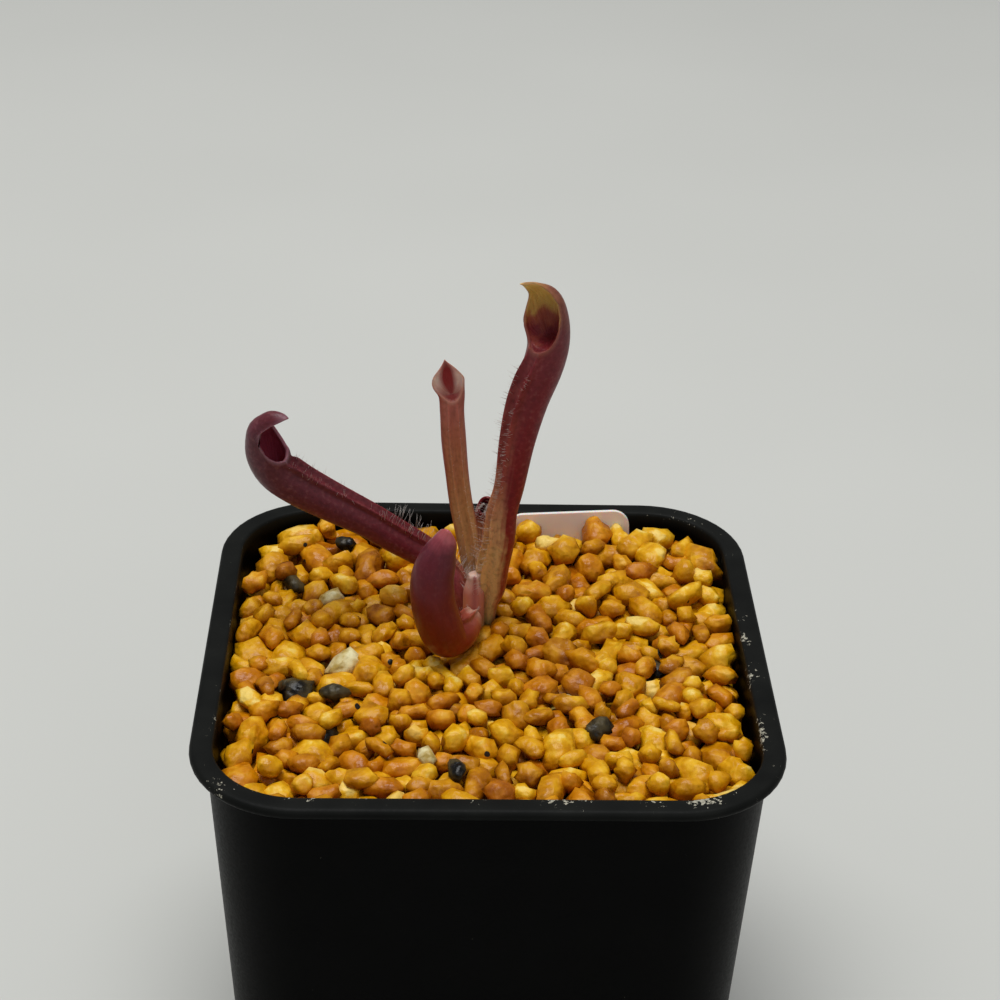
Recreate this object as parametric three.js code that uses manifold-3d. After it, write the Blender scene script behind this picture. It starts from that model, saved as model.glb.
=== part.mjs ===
// A young pitcher plant in a square black nursery pot, top-dressed with yellow pumice granules.
//
// Millimetres, +Z up. The origin is the centre of the pot's foot, the pot's sides lie along X and Y, and -Y is
// the front. Each pitcher is one hollow leaf: a tube round a curved spine, open at a slanted mouth, whose back
// runs on as a hood that hooks over the mouth. The leaves clasp a short crown whose roots run down in the
// granules, and a plastic plant label leans on the pot's back rim.

import * as THREE from "three";
import { mergeVertices } from "three/addons/utils/BufferGeometryUtils.js";
import Module from "manifold-3d";

const wasm = await Module();
wasm.setup();

// ---------------------------------------------------------------------------------------------------------
// Driving dimensions
// ---------------------------------------------------------------------------------------------------------

const CLEARANCE = 0.3; // between two pieces that touch on the real plant

const POT = {
  height: 68,
  rimWidth: 75, // across the flange, flat to flat
  rimCorner: 14.2,
  rimThickness: 1.5,
  rimOverhang: 2, // flange beyond the wall's outside
  wall: 1,
  floor: 1.4,
  floorChamfer: 1.5, // inside, where the wall meets the floor
  footHeight: 1.2, // the floor's underside stands this far above the table
  footWidth: 3,
  footBevel: 0.7,
  taper: 0.055, // each side leans in by this share of its depth
  footCorner: 9,
  cornerSteps: 6,
  drainRadius: 3.2,
  drainOffset: 17,
};

const BED = {
  top: 63.2, // level of the packed granules, under the loose top layer
  spacing: 4.9, // between neighbouring granules of the top layer
  jitter: 0.35, // share of the spacing
  smallest: 2.1,
  largest: 3,
  lift: [0.15, 0.95], // lowest and highest centre of a granule above the packed level
  seed: 20,
};

const LABEL = {
  width: 18,
  length: 60,
  thickness: 0.6,
  corner: 2.4,
  pointLength: 9,
  top: [12.5, 33.6, 68.8], // middle of its top edge
  lean: 5.5, // degrees, top towards the back rim
  roll: 3, // degrees, in its own plane
};

const CROWN = {
  at: [-1.5, 9.4],
  top: 72.7,
  bottom: 54,
  radius: 1.5,
  tipRadius: 0.9,
  shoulder: 3.4, // the crown narrows to its tip over this length
  sides: 12,
  rootRadius: 0.7,
  rootSides: 6,
};

const LEAF = {
  wall: 0.6,
  lip: 0.25, // flare of the mouth's edge
  groove: 0.12, // depth of the furrow between the wings
  finest: 0.15, // least radius at a hood's tip
};

// ---------------------------------------------------------------------------------------------------------
// Solids
// ---------------------------------------------------------------------------------------------------------

const point = (x, y, z) => new THREE.Vector3(x, y, z);

/** A closed geometry as a solid that can be joined and cut, turned the right way out. */
function solidOf(geometry) {
  const bare = geometry.clone();
  bare.deleteAttribute("normal");
  bare.deleteAttribute("uv");
  const merged = mergeVertices(bare, 1e-4);
  const vertProperties = new Float32Array(merged.attributes.position.array);
  const triVerts = new Uint32Array(merged.index.array);
  const solid = new wasm.Manifold(new wasm.Mesh({ numProp: 3, vertProperties, triVerts }));
  if (solid.volume() > 0) return solid;
  return new wasm.Manifold(new wasm.Mesh({ numProp: 3, vertProperties, triVerts: triVerts.reverse() }));
}

/** A solid as a three.js geometry. */
function geometryOf(solid) {
  const mesh = solid.getMesh();
  const geometry = new THREE.BufferGeometry();
  geometry.setAttribute("position", new THREE.BufferAttribute(mesh.vertProperties, mesh.numProp));
  geometry.setIndex(new THREE.BufferAttribute(mesh.triVerts, 1));
  geometry.computeVertexNormals();
  return geometry;
}

/** Skins a row of rings that all have the same number of points, and closes both ends with a fan. */
function loftGeometry(rings) {
  const count = rings[0].length;
  const points = rings.flat();
  const faces = [];
  for (let i = 0; i + 1 < rings.length; i++) {
    for (let j = 0; j < count; j++) {
      const a = i * count + j;
      const b = i * count + ((j + 1) % count);
      faces.push(a, b, b + count, a, b + count, a + count);
    }
  }
  const middle = (ring) => ring.reduce((sum, p) => sum.add(p), point(0, 0, 0)).divideScalar(count);
  const first = points.push(middle(rings[0])) - 1;
  const last = points.push(middle(rings[rings.length - 1])) - 1;
  const lastRing = (rings.length - 1) * count;
  for (let j = 0; j < count; j++) {
    faces.push(first, (j + 1) % count, j);
    faces.push(last, lastRing + j, lastRing + ((j + 1) % count));
  }
  const geometry = new THREE.BufferGeometry().setFromPoints(points);
  geometry.setIndex(faces);
  return geometry;
}

/** The loft of a row of rings as a solid. */
function loftSolid(rings) {
  return solidOf(loftGeometry(rings));
}

/** The largest body of a solid, without the loose scraps that a cut leaves. */
function mainBody(solid) {
  return solid.decompose().reduce((best, body) => (body.volume() > best.volume() ? body : best));
}

/** Repeatable random numbers from 0 to 1. */
function randomFrom(seed) {
  let state = seed;
  return () => {
    state = (state * 1664525 + 1013904223) % 4294967296;
    return state / 4294967296;
  };
}

// ---------------------------------------------------------------------------------------------------------
// Pot
// ---------------------------------------------------------------------------------------------------------

const FLANGE_BOTTOM = POT.height - POT.rimThickness;
const WALL_TOP_WIDTH = POT.rimWidth - 2 * POT.rimOverhang;

/** Width and corner radius of the wall's outside at a height. */
function wallAt(z) {
  const share = z / POT.height;
  return {
    width: WALL_TOP_WIDTH - 2 * POT.taper * (POT.height - z),
    corner: THREE.MathUtils.lerp(POT.footCorner, POT.rimCorner - POT.rimOverhang, share),
  };
}

/** A square ring with round corners, at a height. */
function squareRing(width, corner, z) {
  const ring = [];
  const reach = width / 2 - corner;
  for (let quarter = 0; quarter < 4; quarter++) {
    const start = (quarter * Math.PI) / 2;
    const cx = reach * Math.SQRT2 * Math.cos(start + Math.PI / 4);
    const cy = reach * Math.SQRT2 * Math.sin(start + Math.PI / 4);
    for (let step = 0; step <= POT.cornerSteps; step++) {
      const angle = start + (step / POT.cornerSteps) * (Math.PI / 2);
      ring.push(point(cx + corner * Math.cos(angle), cy + corner * Math.sin(angle), z));
    }
  }
  return ring;
}

/** The wall's section at a height, taken in by a distance. */
function wallRing(z, inset) {
  const { width, corner } = wallAt(z);
  return squareRing(width - 2 * inset, corner - inset, z);
}

const FLOOR_TOP = POT.footHeight + POT.floor;

function potSolid() {
  const { rimWidth, rimCorner, rimThickness, wall, height } = POT;
  const edge = rimThickness / 3; // the flange's rounded edge, cut as two bevels
  const rimInset = (inset, z) => squareRing(rimWidth - 2 * inset, rimCorner - inset, z);
  const shell = loftSolid([
    wallRing(POT.footHeight, POT.footWidth),
    wallRing(0, POT.footWidth),
    wallRing(0, POT.footBevel),
    wallRing(POT.footBevel, 0),
    wallRing(FLANGE_BOTTOM, 0),
    rimInset(edge, FLANGE_BOTTOM),
    rimInset(0, FLANGE_BOTTOM + edge),
    rimInset(0, height - edge),
    rimInset(edge, height),
    rimInset(POT.rimOverhang + wall - edge, height),
    wallRing(height - edge, wall),
    wallRing(FLOOR_TOP + POT.floorChamfer, wall),
    wallRing(FLOOR_TOP, wall + POT.floorChamfer),
  ]);
  const drain = new THREE.CylinderGeometry(POT.drainRadius, POT.drainRadius, 4 * POT.floor, 16)
    .rotateX(Math.PI / 2)
    .translate(0, 0, POT.footHeight);
  const places = [[0, 0]];
  for (const x of [-POT.drainOffset, POT.drainOffset]) {
    for (const y of [-POT.drainOffset, POT.drainOffset]) places.push([x, y]);
  }
  return places.reduce((pot, [x, y]) => pot.subtract(solidOf(drain.clone().translate(x, y, 0))), shell);
}

// ---------------------------------------------------------------------------------------------------------
// Leaves
// ---------------------------------------------------------------------------------------------------------

// Degrees round a leaf from the middle of its back to the middle of its front, on one side. The two wings
// stand on the front, one each side of a shallow groove.
const ROUND = [0, 28, 56, 84, 98, 112, 138, 160, 172, 180];
const WING_CREST = 160;
const GROOVE_FROM = 172;

// Each leaf's stations run from its base to its hood's tip: x, y, z of the spine, half its width and half its
// depth. sides point across the leaf, evenly spaced from base to tip, so that tangent x side is its back: they
// turn its face. mouth is the place of the front lip along the stations, from 0 to 1. rim gives the place of
// the mouth's edge at angles round the leaf, in degrees from its back: near 1 it keeps a side of the hood long.
// A table that ends at 180 is the same on both sides. cavity is where the hollow ends, wing the height of the
// two wings, and rows count the rings of the trunk, the head and the inside.
const LEAVES = [
  {
    name: "pitcher_right",
    sides: [[0.3, -1, 0], [0.3, -1, 0], [0.45, -1, 0], [0.93, -0.6, 0], [0.75, -0.35, 0.7]],
    stations: [
      [0.6, 11, 63.2, 1.2, 0.8],
      [0.5, 11, 65.5, 1.6, 1],
      [0.6, 10.8, 68, 2, 1.25],
      [1.1, 10.2, 70.6, 2.2, 1.65],
      [1.3, 9.2, 74.2, 2.1, 1.8],
      [2, 8.2, 78.9, 1.9, 1.75],
      [2.3, 8, 83.4, 1.7, 1.7],
      [3.2, 8, 87.6, 1.7, 1.65],
      [4, 8, 94.1, 2.1, 2],
      [5.1, 8, 100, 2.4, 2.45],
      [6.7, 8, 105.3, 2.6, 2.75],
      [7.4, 8, 108.9, 2.6, 2.75],
      [7.2, 7.7, 112.3, 2.6, 2.5],
      [6.5, 7.3, 115, 2.3, 2],
      [5.2, 6.6, 116.7, 1.4, 1],
      [4.1, 6.1, 117.4, 0.8, 0.5],
      [3.2, 5.8, 117.7, 0.2, 0.2],
    ],
    mouth: 0.665,
    rim: [[0, 1], [45, 0.95], [75, 0.9], [100, 0.84], [112, 0.75], [138, 0.69], [180, 0.665]],
    cavity: 0.62,
    wing: 0.75,
    rows: { trunk: 14, head: 8, inside: 5 },
    colour: 0x6d1a22,
  },
  {
    name: "pitcher_front",
    sides: [[-0.85, 0.5, 0], [-0.85, 0.5, 0]],
    stations: [
      [-2.2, 8.8, 63.2, 1.2, 1],
      [-2, 7.8, 66.4, 1.5, 1.3],
      [-2.3, 4.8, 67.7, 1.8, 1.7],
      [-3.3, 1.9, 68.1, 2.3, 2.2],
      [-4.9, 0.1, 68.5, 2.7, 2.8],
      [-6, -0.7, 70.2, 3, 3],
      [-7.1, -0.5, 74, 3, 2.95],
      [-7.3, 0.1, 77.5, 2.95, 2.7],
      [-6.7, 0.5, 80.2, 2.6, 2.4],
      [-5.9, 0.5, 82.8, 1.75, 1.6],
      [-5.1, 0.3, 85.2, 0.45, 0.45],
    ],
    mouth: 0.82,
    rim: [[0, 1], [60, 0.99], [90, 0.97], [120, 0.93], [150, 0.86], [180, 0.82]],
    cavity: 0.6,
    wing: 0.55,
    rows: { trunk: 12, head: 6, inside: 5 },
    colour: 0x561620,
  },
  {
    name: "pitcher_left",
    sides: [[0, 1, 0], [0.57, 0.82, 0]],
    stations: [
      [-2.9, 11.7, 63.1, 1.3, 1],
      [-3.2, 11.9, 67.1, 1.6, 1.3],
      [-4.6, 12.4, 70.6, 1.7, 1.6],
      [-8.2, 12.9, 73.4, 1.8, 1.85],
      [-12.6, 13, 76.2, 2, 2.05],
      [-16.5, 13, 78.8, 2.1, 2.15],
      [-21.8, 13, 81.8, 2.4, 2.45],
      [-26, 13, 84.4, 2.6, 2.7],
      [-28.7, 13, 86.8, 2.7, 2.8],
      [-29.9, 12.9, 89.8, 2.7, 2.75],
      [-30.4, 12.5, 92.7, 2.2, 1.85],
      [-29.6, 12, 94, 1.8, 1.6],
      [-28.5, 11.4, 94.8, 1.4, 1.6],
      [-27.3, 10.8, 95.4, 0.9, 1.05],
      [-26.4, 10.4, 95.8, 0.25, 0.2],
    ],
    mouth: 0.604,
    rim: [
      [0, 1],
      [30, 0.976],
      [60, 0.91],
      [90, 0.816],
      [120, 0.718],
      [150, 0.639],
      [180, 0.604],
      [215, 0.612],
      [235, 0.635],
      [248, 0.68],
      [255, 0.74],
      [259, 0.82],
      [263, 0.92],
      [285, 0.985],
    ],
    cavity: 0.5,
    wing: 0.75,
    rows: { trunk: 12, head: 8, inside: 6 },
    colour: 0x5c1822,
  },
  {
    name: "pitcher_middle",
    sides: [[1, 0.15, 0], [1, 0.15, 0]],
    stations: [
      [-1.6, 13.6, 63.7, 1, 0.9],
      [-1.6, 14.6, 67.1, 1.3, 1],
      [-1.9, 15, 71.1, 1.45, 1.1],
      [-2.6, 15, 76, 1.6, 1.2],
      [-3.5, 15, 80.8, 1.6, 1.25],
      [-4.1, 15, 85.4, 1.6, 1.3],
      [-4.6, 15, 90.3, 1.7, 1.3],
      [-4.9, 15, 94.8, 1.65, 1],
      [-5, 14.9, 97.5, 1.8, 0.6],
      [-5.5, 14.6, 99.6, 2.15, 0.5],
      [-5.7, 14.2, 101.4, 1.45, 0.42],
      [-6, 13.9, 103.1, 0.3, 0.35],
    ],
    mouth: 0.69,
    rim: [[0, 1], [30, 0.955], [60, 0.89], [90, 0.82], [120, 0.75], [150, 0.71], [180, 0.69]],
    cavity: 0.67,
    wing: 0.3,
    rows: { trunk: 9, head: 6, inside: 4 },
    colour: 0x93533b,
  },
  {
    name: "pitcher_young",
    sides: [[0.9, -0.5, 0], [0.9, -0.5, 0]],
    stations: [
      [0, 12.6, 64.3, 0.9, 0.8],
      [-0.2, 13.4, 68.9, 1.1, 0.9],
      [-0.3, 15.2, 73.7, 1.3, 1.1],
      [-0.2, 16.6, 76.9, 1.5, 1.3],
      [0, 16.9, 78.9, 1.3, 1.2],
      [0.2, 16.5, 80.1, 0.9, 0.8],
      [0.3, 16.1, 80.8, 0.35, 0.35],
    ],
    mouth: 0.6,
    rim: [[0, 1], [60, 0.95], [90, 0.85], [120, 0.75], [180, 0.6]],
    cavity: 0.4,
    wing: 0.4,
    rows: { trunk: 7, head: 5, inside: 4 },
    colour: 0x641a26,
  },
];

/** A leaf's spine, widths and directions at a place along its stations. */
function leafFrame(leaf) {
  const spine = new THREE.CatmullRomCurve3(
    leaf.stations.map(([x, y, z]) => point(x, y, z)),
    false,
    "catmullrom",
    0.5,
  );
  const widths = new THREE.SplineCurve(leaf.stations.map((s) => new THREE.Vector2(s[3], s[4])));
  const sides = leaf.sides.map((side) => point(...side));
  return (u) => {
    const tangent = spine.getTangent(u);
    const place = u * (sides.length - 1);
    const before = Math.min(Math.floor(place), sides.length - 2);
    const across = sides[before].clone().lerp(sides[before + 1], place - before);
    const side = across.clone().addScaledVector(tangent, -across.dot(tangent)).normalize();
    const back = tangent.clone().cross(side).normalize();
    const half = widths.getPoint(u);
    return { at: spine.getPoint(u), tangent, side, back, wide: half.x, deep: half.y };
  };
}

/** A point on a leaf's skin: u along it, angle in degrees round it from the back, swell outwards. */
function skinPoint(frame, u, angle, swell) {
  const { at, side, back, wide, deep } = frame(u);
  const turn = THREE.MathUtils.degToRad(angle);
  return at
    .clone()
    .addScaledVector(back, Math.max(deep + swell, LEAF.finest) * Math.cos(turn))
    .addScaledVector(side, Math.max(wide + swell, LEAF.finest) * Math.sin(turn));
}

/** All the angles round a leaf, from the back, round one side, and back by the other. */
const ANGLES = [...ROUND, ...ROUND.slice(1, -1).map((a) => 360 - a).reverse()];
const fromBack = (angle) => (angle > 180 ? 360 - angle : angle);

/** The place of the mouth's edge in a leaf's table at an angle. */
function tableAt(rim, angle) {
  const turn = THREE.MathUtils.euclideanModulo(angle, 360);
  const oneSided = rim[rim.length - 1][0] > 180;
  const table = oneSided ? [...rim, [360, rim[0][1]]] : rim;
  const at = oneSided ? turn : fromBack(turn);
  const next = Math.max(table.findIndex(([tableAngle]) => tableAngle >= at), 1);
  const [[angleBefore, before], [angleAfter, after]] = table.slice(next - 1, next + 1);
  return THREE.MathUtils.mapLinear(at, angleBefore, angleAfter, before, after);
}

/** How far along the stations the mouth's edge lies at an angle: the table with its corners rounded. */
function rimAt(leaf, angle) {
  const blurs = [-10, -5, 0, 5, 10];
  return blurs.reduce((sum, blur) => sum + tableAt(leaf.rim, angle + blur), 0) / blurs.length;
}

/** Height of the two wings at a place along the front. */
function wingAt(leaf, u) {
  const rise = THREE.MathUtils.smoothstep(u, 0.05, 0.25);
  const fade = 1 - THREE.MathUtils.smoothstep(u, leaf.mouth - 0.06, leaf.mouth);
  return leaf.wing * rise * (0.35 + 0.65 * fade);
}

/** How far the skin stands out from the plain tube, for the wings and the groove between them. */
function outerSwell(leaf, u, angle) {
  const a = fromBack(angle);
  if (a === WING_CREST) return wingAt(leaf, u);
  return a >= GROOVE_FROM ? -LEAF.groove : 0;
}

/** The place along the stations where the rings start to slant towards the mouth. */
const trunkEnd = (leaf) => leaf.mouth - 0.05;

/** The leaf's outside below its head, as rings. */
function trunkRings(leaf, frame, swell) {
  const rings = [];
  for (let row = 0; row <= leaf.rows.trunk; row++) {
    const u = (trunkEnd(leaf) * row) / leaf.rows.trunk;
    rings.push(ANGLES.map((angle) => skinPoint(frame, u, angle, outerSwell(leaf, u, angle) + swell)));
  }
  return rings;
}

/** A leaf: its outside up to the mouth's edge, then its inside down to the bottom of the hollow. */
function leafSolid(leaf) {
  const frame = leafFrame(leaf);
  const { head, inside } = leaf.rows;
  const rings = trunkRings(leaf, frame, 0);
  for (let row = 1; row <= head; row++) {
    const share = row / head;
    const lip = row === head ? LEAF.lip : 0;
    rings.push(
      ANGLES.map((angle) => {
        const u = THREE.MathUtils.lerp(trunkEnd(leaf), rimAt(leaf, angle), share);
        const flare = lip * THREE.MathUtils.smoothstep(fromBack(angle), 30, 90);
        return skinPoint(frame, u, angle, outerSwell(leaf, u, angle) + flare);
      }),
    );
  }
  for (let row = 0; row <= inside; row++) {
    const share = row / inside;
    rings.push(
      ANGLES.map((angle) => {
        const u = THREE.MathUtils.lerp(rimAt(leaf, angle), leaf.cavity, share);
        const { wide, deep } = frame(u);
        const wall = Math.min(LEAF.wall, 0.7 * Math.min(wide, deep));
        return skinPoint(frame, u, angle, -wall);
      }),
    );
  }
  return loftSolid(rings);
}

/** The lower half of a leaf, filled and swollen by a clearance, to cut its place in what it meets. */
function leafPlace(leaf, clearance) {
  return loftSolid(trunkRings(leaf, leafFrame(leaf), clearance));
}

// ---------------------------------------------------------------------------------------------------------
// Crown and roots
// ---------------------------------------------------------------------------------------------------------

// Each root leaves the crown at a bearing, in degrees, and runs out and down.
const ROOTS = [
  { bearing: 20, reach: 15, depth: 34 },
  { bearing: 100, reach: 11, depth: 26 },
  { bearing: 170, reach: 17, depth: 38 },
  { bearing: 245, reach: 13, depth: 42 },
  { bearing: 310, reach: 18, depth: 30 },
];

/** The crown with its roots, swollen by a clearance. */
function crownSolid(swell) {
  const { top, bottom, radius, tipRadius, shoulder, rootRadius } = CROWN;
  const profile = [
    [0, bottom - swell],
    [0.7 * radius + swell, bottom - swell],
    [radius + swell, bottom + radius],
    [radius + swell, top - shoulder],
    [0.75 * radius + swell, top - 0.4 * shoulder],
    [tipRadius + swell, top + swell],
    [0, top + swell],
  ];
  const outline = profile.map(([r, z]) => new THREE.Vector2(r, z));
  let crown = solidOf(new THREE.LatheGeometry(outline, CROWN.sides).rotateX(Math.PI / 2));
  for (const { bearing, reach, depth } of ROOTS) {
    const angle = THREE.MathUtils.degToRad(bearing);
    const start = bottom + 2 * radius;
    const at = (out, down) =>
      point(Math.cos(angle) * reach * out, Math.sin(angle) * reach * out, start - depth * down);
    const path = new THREE.CatmullRomCurve3([at(0, 0), at(0.25, 0.14), at(0.6, 0.42), at(0.85, 0.7), at(1, 1)]);
    const section = new THREE.Shape(ringPoints(rootRadius + swell, CROWN.rootSides));
    const root = new THREE.ExtrudeGeometry(section, { steps: 8, bevelEnabled: false, extrudePath: path });
    crown = crown.add(solidOf(root));
  }
  return crown.translate([CROWN.at[0], CROWN.at[1], 0]);
}

/** Points of a regular ring, for a section. */
function ringPoints(radius, sides) {
  return Array.from({ length: sides }, (_, i) => {
    const angle = (i / sides) * 2 * Math.PI;
    return new THREE.Vector2(radius * Math.cos(angle), radius * Math.sin(angle));
  });
}

// ---------------------------------------------------------------------------------------------------------
// Label
// ---------------------------------------------------------------------------------------------------------

/** The label, swollen by a clearance: a strip with round top corners and a point to push in. */
function labelSolid(swell) {
  const half = LABEL.width / 2 + swell;
  const { corner, length, pointLength, thickness } = LABEL;
  const shape = new THREE.Shape();
  shape.moveTo(-half, -length + pointLength);
  shape.lineTo(0, -length - swell);
  shape.lineTo(half, -length + pointLength);
  shape.lineTo(half, swell - corner);
  shape.absarc(half - corner, swell - corner, corner, 0, Math.PI / 2, false);
  shape.absarc(-half + corner, swell - corner, corner, Math.PI / 2, Math.PI, false);
  shape.closePath();
  const sheet = new THREE.ExtrudeGeometry(shape, {
    depth: thickness + 2 * swell,
    bevelEnabled: false,
    curveSegments: 5,
  });
  sheet
    .translate(0, 0, -thickness / 2 - swell)
    .rotateZ(THREE.MathUtils.degToRad(LABEL.roll))
    .rotateX(THREE.MathUtils.degToRad(90 - LABEL.lean))
    .translate(...LABEL.top);
  return solidOf(sheet);
}

// ---------------------------------------------------------------------------------------------------------
// Granule bed
// ---------------------------------------------------------------------------------------------------------

/** True where a granule of this radius stands clear of the pot's wall. */
function insidePot(x, y, radius) {
  const { width, corner } = wallAt(BED.top);
  const room = width / 2 - POT.wall - CLEARANCE - radius;
  const round = corner - POT.wall - radius;
  const dx = Math.abs(x) - (room - round);
  const dy = Math.abs(y) - (room - round);
  if (dx <= 0 || dy <= 0) return Math.max(Math.abs(x), Math.abs(y)) <= room;
  return Math.hypot(dx, dy) <= round;
}

/** One lump of pumice, an uneven stone with few faces. */
function granuleSolid(x, y, radius, random) {
  const stretch = point(1 + 0.25 * random(), 0.95 + 0.2 * random(), 0.8 + 0.2 * random());
  const stone = new THREE.IcosahedronGeometry(radius, 0)
    .scale(stretch.x, stretch.y, stretch.z)
    .rotateX(random() * Math.PI)
    .rotateY(random() * Math.PI)
    .rotateZ(random() * Math.PI)
    .translate(x, y, BED.top + THREE.MathUtils.lerp(...BED.lift, random()));
  return solidOf(stone);
}

/** The filling, with a layer of granules fused on its top and the places of the planted pieces cut out. */
function bedSolid(places) {
  const seat = POT.wall + CLEARANCE;
  const chamfer = POT.floorChamfer + CLEARANCE;
  const block = loftSolid([
    wallRing(FLOOR_TOP + CLEARANCE, seat + chamfer),
    wallRing(FLOOR_TOP + chamfer, seat),
    wallRing(BED.top, seat),
  ]);
  const random = randomFrom(BED.seed);
  const stones = [];
  const rowStep = BED.spacing * Math.sin(Math.PI / 3);
  const count = Math.ceil(WALL_TOP_WIDTH / rowStep);
  for (let row = -count; row <= count; row++) {
    for (let column = -count; column <= count; column++) {
      const x = (column + (row % 2) / 2 + BED.jitter * (random() - 0.5)) * BED.spacing;
      const y = (row + BED.jitter * (random() - 0.5)) * rowStep;
      const radius = THREE.MathUtils.lerp(BED.smallest, BED.largest, random());
      if (insidePot(x, y, radius * 1.1)) stones.push(granuleSolid(x, y, radius, random));
    }
  }
  const bed = wasm.Manifold.union([block, ...stones]);
  return mainBody(wasm.Manifold.difference([bed, ...places]));
}

// ---------------------------------------------------------------------------------------------------------
// The plant in its pot
// ---------------------------------------------------------------------------------------------------------

const group = new THREE.Group();

function addPiece(name, solid, colour, roughness) {
  const material = new THREE.MeshStandardMaterial({ color: colour, roughness, metalness: 0 });
  const mesh = new THREE.Mesh(geometryOf(solid), material);
  mesh.name = name;
  group.add(mesh);
}

addPiece("pot", potSolid(), 0x17191b, 0.5);

// Neighbouring leaf bases nest: each leaf is cut back round the ones that stand before it.
const taken = [crownSolid(CLEARANCE)];
addPiece("crown", crownSolid(0), 0xa85a4c, 0.7);
for (const leaf of LEAVES) {
  const solid = wasm.Manifold.difference([leafSolid(leaf), ...taken]);
  addPiece(leaf.name, mainBody(solid), leaf.colour, 0.4);
  taken.push(leafPlace(leaf, CLEARANCE));
}

addPiece("plant_label", labelSolid(0), 0xd9cfc9, 0.5);
addPiece("granule_bed", bedSolid([...taken, labelSolid(CLEARANCE)]), 0xd69a2c, 0.85);

export default group;
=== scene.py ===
# %% [markdown]
# # A young pitcher plant in a square nursery pot
#
# A pitcher plant catches insects in hollow leaves. This one is a few years old and sits in a 7.5 cm black
# plastic pot, in yellow pumice granules, with a plastic label pushed in at the back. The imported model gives
# the place and the main shape of every piece. This file builds the fine pieces over it: smooth thin leaves
# with wings, lips and hairs, several hundred loose granules, the moulded pot, and their finishes.

# %% Frame, units and tools
import random
from math import cos, exp, hypot, pi, radians, sin, sqrt

import bmesh
import bpy
import numpy as np
from mathutils import Matrix, Vector, noise


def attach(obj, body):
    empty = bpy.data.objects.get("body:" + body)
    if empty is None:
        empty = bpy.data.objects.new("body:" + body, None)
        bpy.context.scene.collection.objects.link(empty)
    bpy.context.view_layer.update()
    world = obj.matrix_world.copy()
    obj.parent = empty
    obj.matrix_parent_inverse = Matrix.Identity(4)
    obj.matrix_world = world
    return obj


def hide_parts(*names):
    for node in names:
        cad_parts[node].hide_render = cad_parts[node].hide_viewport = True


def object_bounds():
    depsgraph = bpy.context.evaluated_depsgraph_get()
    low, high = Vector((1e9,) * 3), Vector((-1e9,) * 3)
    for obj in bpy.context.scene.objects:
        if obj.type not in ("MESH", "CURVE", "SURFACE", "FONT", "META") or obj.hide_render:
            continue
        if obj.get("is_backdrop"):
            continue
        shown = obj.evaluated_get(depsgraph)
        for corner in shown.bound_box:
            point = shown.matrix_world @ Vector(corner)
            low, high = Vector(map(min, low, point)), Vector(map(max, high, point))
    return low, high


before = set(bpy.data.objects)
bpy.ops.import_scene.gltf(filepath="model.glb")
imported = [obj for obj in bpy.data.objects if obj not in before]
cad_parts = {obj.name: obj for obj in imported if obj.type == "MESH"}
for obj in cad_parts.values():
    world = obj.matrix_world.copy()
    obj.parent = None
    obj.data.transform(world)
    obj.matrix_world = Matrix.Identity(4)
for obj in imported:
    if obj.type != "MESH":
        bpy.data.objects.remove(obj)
cad_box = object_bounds()
scene = bpy.context.scene
MM = 0.001
print("nodes in the frame:", ", ".join(sorted(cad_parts)))

# %% [markdown]
# ## Camera
#
# The photograph was taken from about 30 cm, looking down at about 30 degrees. The camera's place, its right
# and its up below make the pot's rim fall where it does in the photograph. A camera looks along its own -Z,
# so its matrix has right, up and backward as columns.

# %% Camera
CAMERA_PLACE = Vector((-7.256, -253.535, 235.235)) * MM
CAMERA_RIGHT = Vector((0.9995075, -0.0201184, 0.0240849))
CAMERA_UP = Vector((-0.0108796, 0.4977354, 0.8672607))
LENS_MM = 81.199
SENSOR_MM = 36

camera_data = bpy.data.cameras.new("camera")
camera_data.lens = LENS_MM
camera_data.sensor_width = SENSOR_MM
camera_data.clip_start = 10 * MM
camera = bpy.data.objects.new("camera", camera_data)
scene.collection.objects.link(camera)
turn = Matrix((CAMERA_RIGHT, CAMERA_UP, CAMERA_RIGHT.cross(CAMERA_UP))).transposed()
camera.matrix_world = Matrix.Translation(CAMERA_PLACE) @ turn.to_4x4()
scene.camera = camera
print(f"camera {CAMERA_PLACE.length / MM:.0f} mm from the pot's foot, lens {LENS_MM} mm")

# %% [markdown]
# ## Small helpers
#
# Colours are written as the sRGB hex values that a colour picker shows, and one function turns them linear
# for the shader. Another adds a node and joins it, and short ones round it give the nodes that come back in
# every finish: noise, a ramp, a mix, a range, a sum. Each takes sockets and returns the next node's. A
# socket knows which material it's in, so the material isn't handed on.


# %% Colour and node helpers
def linear(hex_code):
    """An sRGB hex colour as the linear colour that shaders take."""
    parts = [int(hex_code[i : i + 2], 16) / 255 for i in (1, 3, 5)]
    return (*(c / 12.92 if c <= 0.04045 else ((c + 0.055) / 1.055) ** 2.4 for c in parts), 1.0)


def connect(node, links):
    """Gives a node's inputs what links names for them: another node's socket to join, or a plain value."""
    for key, value in links.items():
        if isinstance(value, bpy.types.NodeSocket):
            node.id_data.links.new(value, node.inputs[key])
        else:
            node.inputs[key].default_value = value


def add_node(kind, links, **settings):
    """Adds a node to the tree that its first linked socket is in, sets its properties and connects it."""
    socket = next(value for value in links.values() if isinstance(value, bpy.types.NodeSocket))
    made = socket.id_data.nodes.new(kind)
    for key, value in settings.items():
        setattr(made, key, value)
    connect(made, links)
    return made


def new_material(name):
    """An empty node material, as (material, its shader, the object's coordinates)."""
    made = bpy.data.materials.new(name)
    made.use_nodes = True
    nodes = made.node_tree.nodes
    print("finish:", name)
    return made, nodes["Principled BSDF"], nodes.new("ShaderNodeTexCoord").outputs["Object"]


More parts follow.
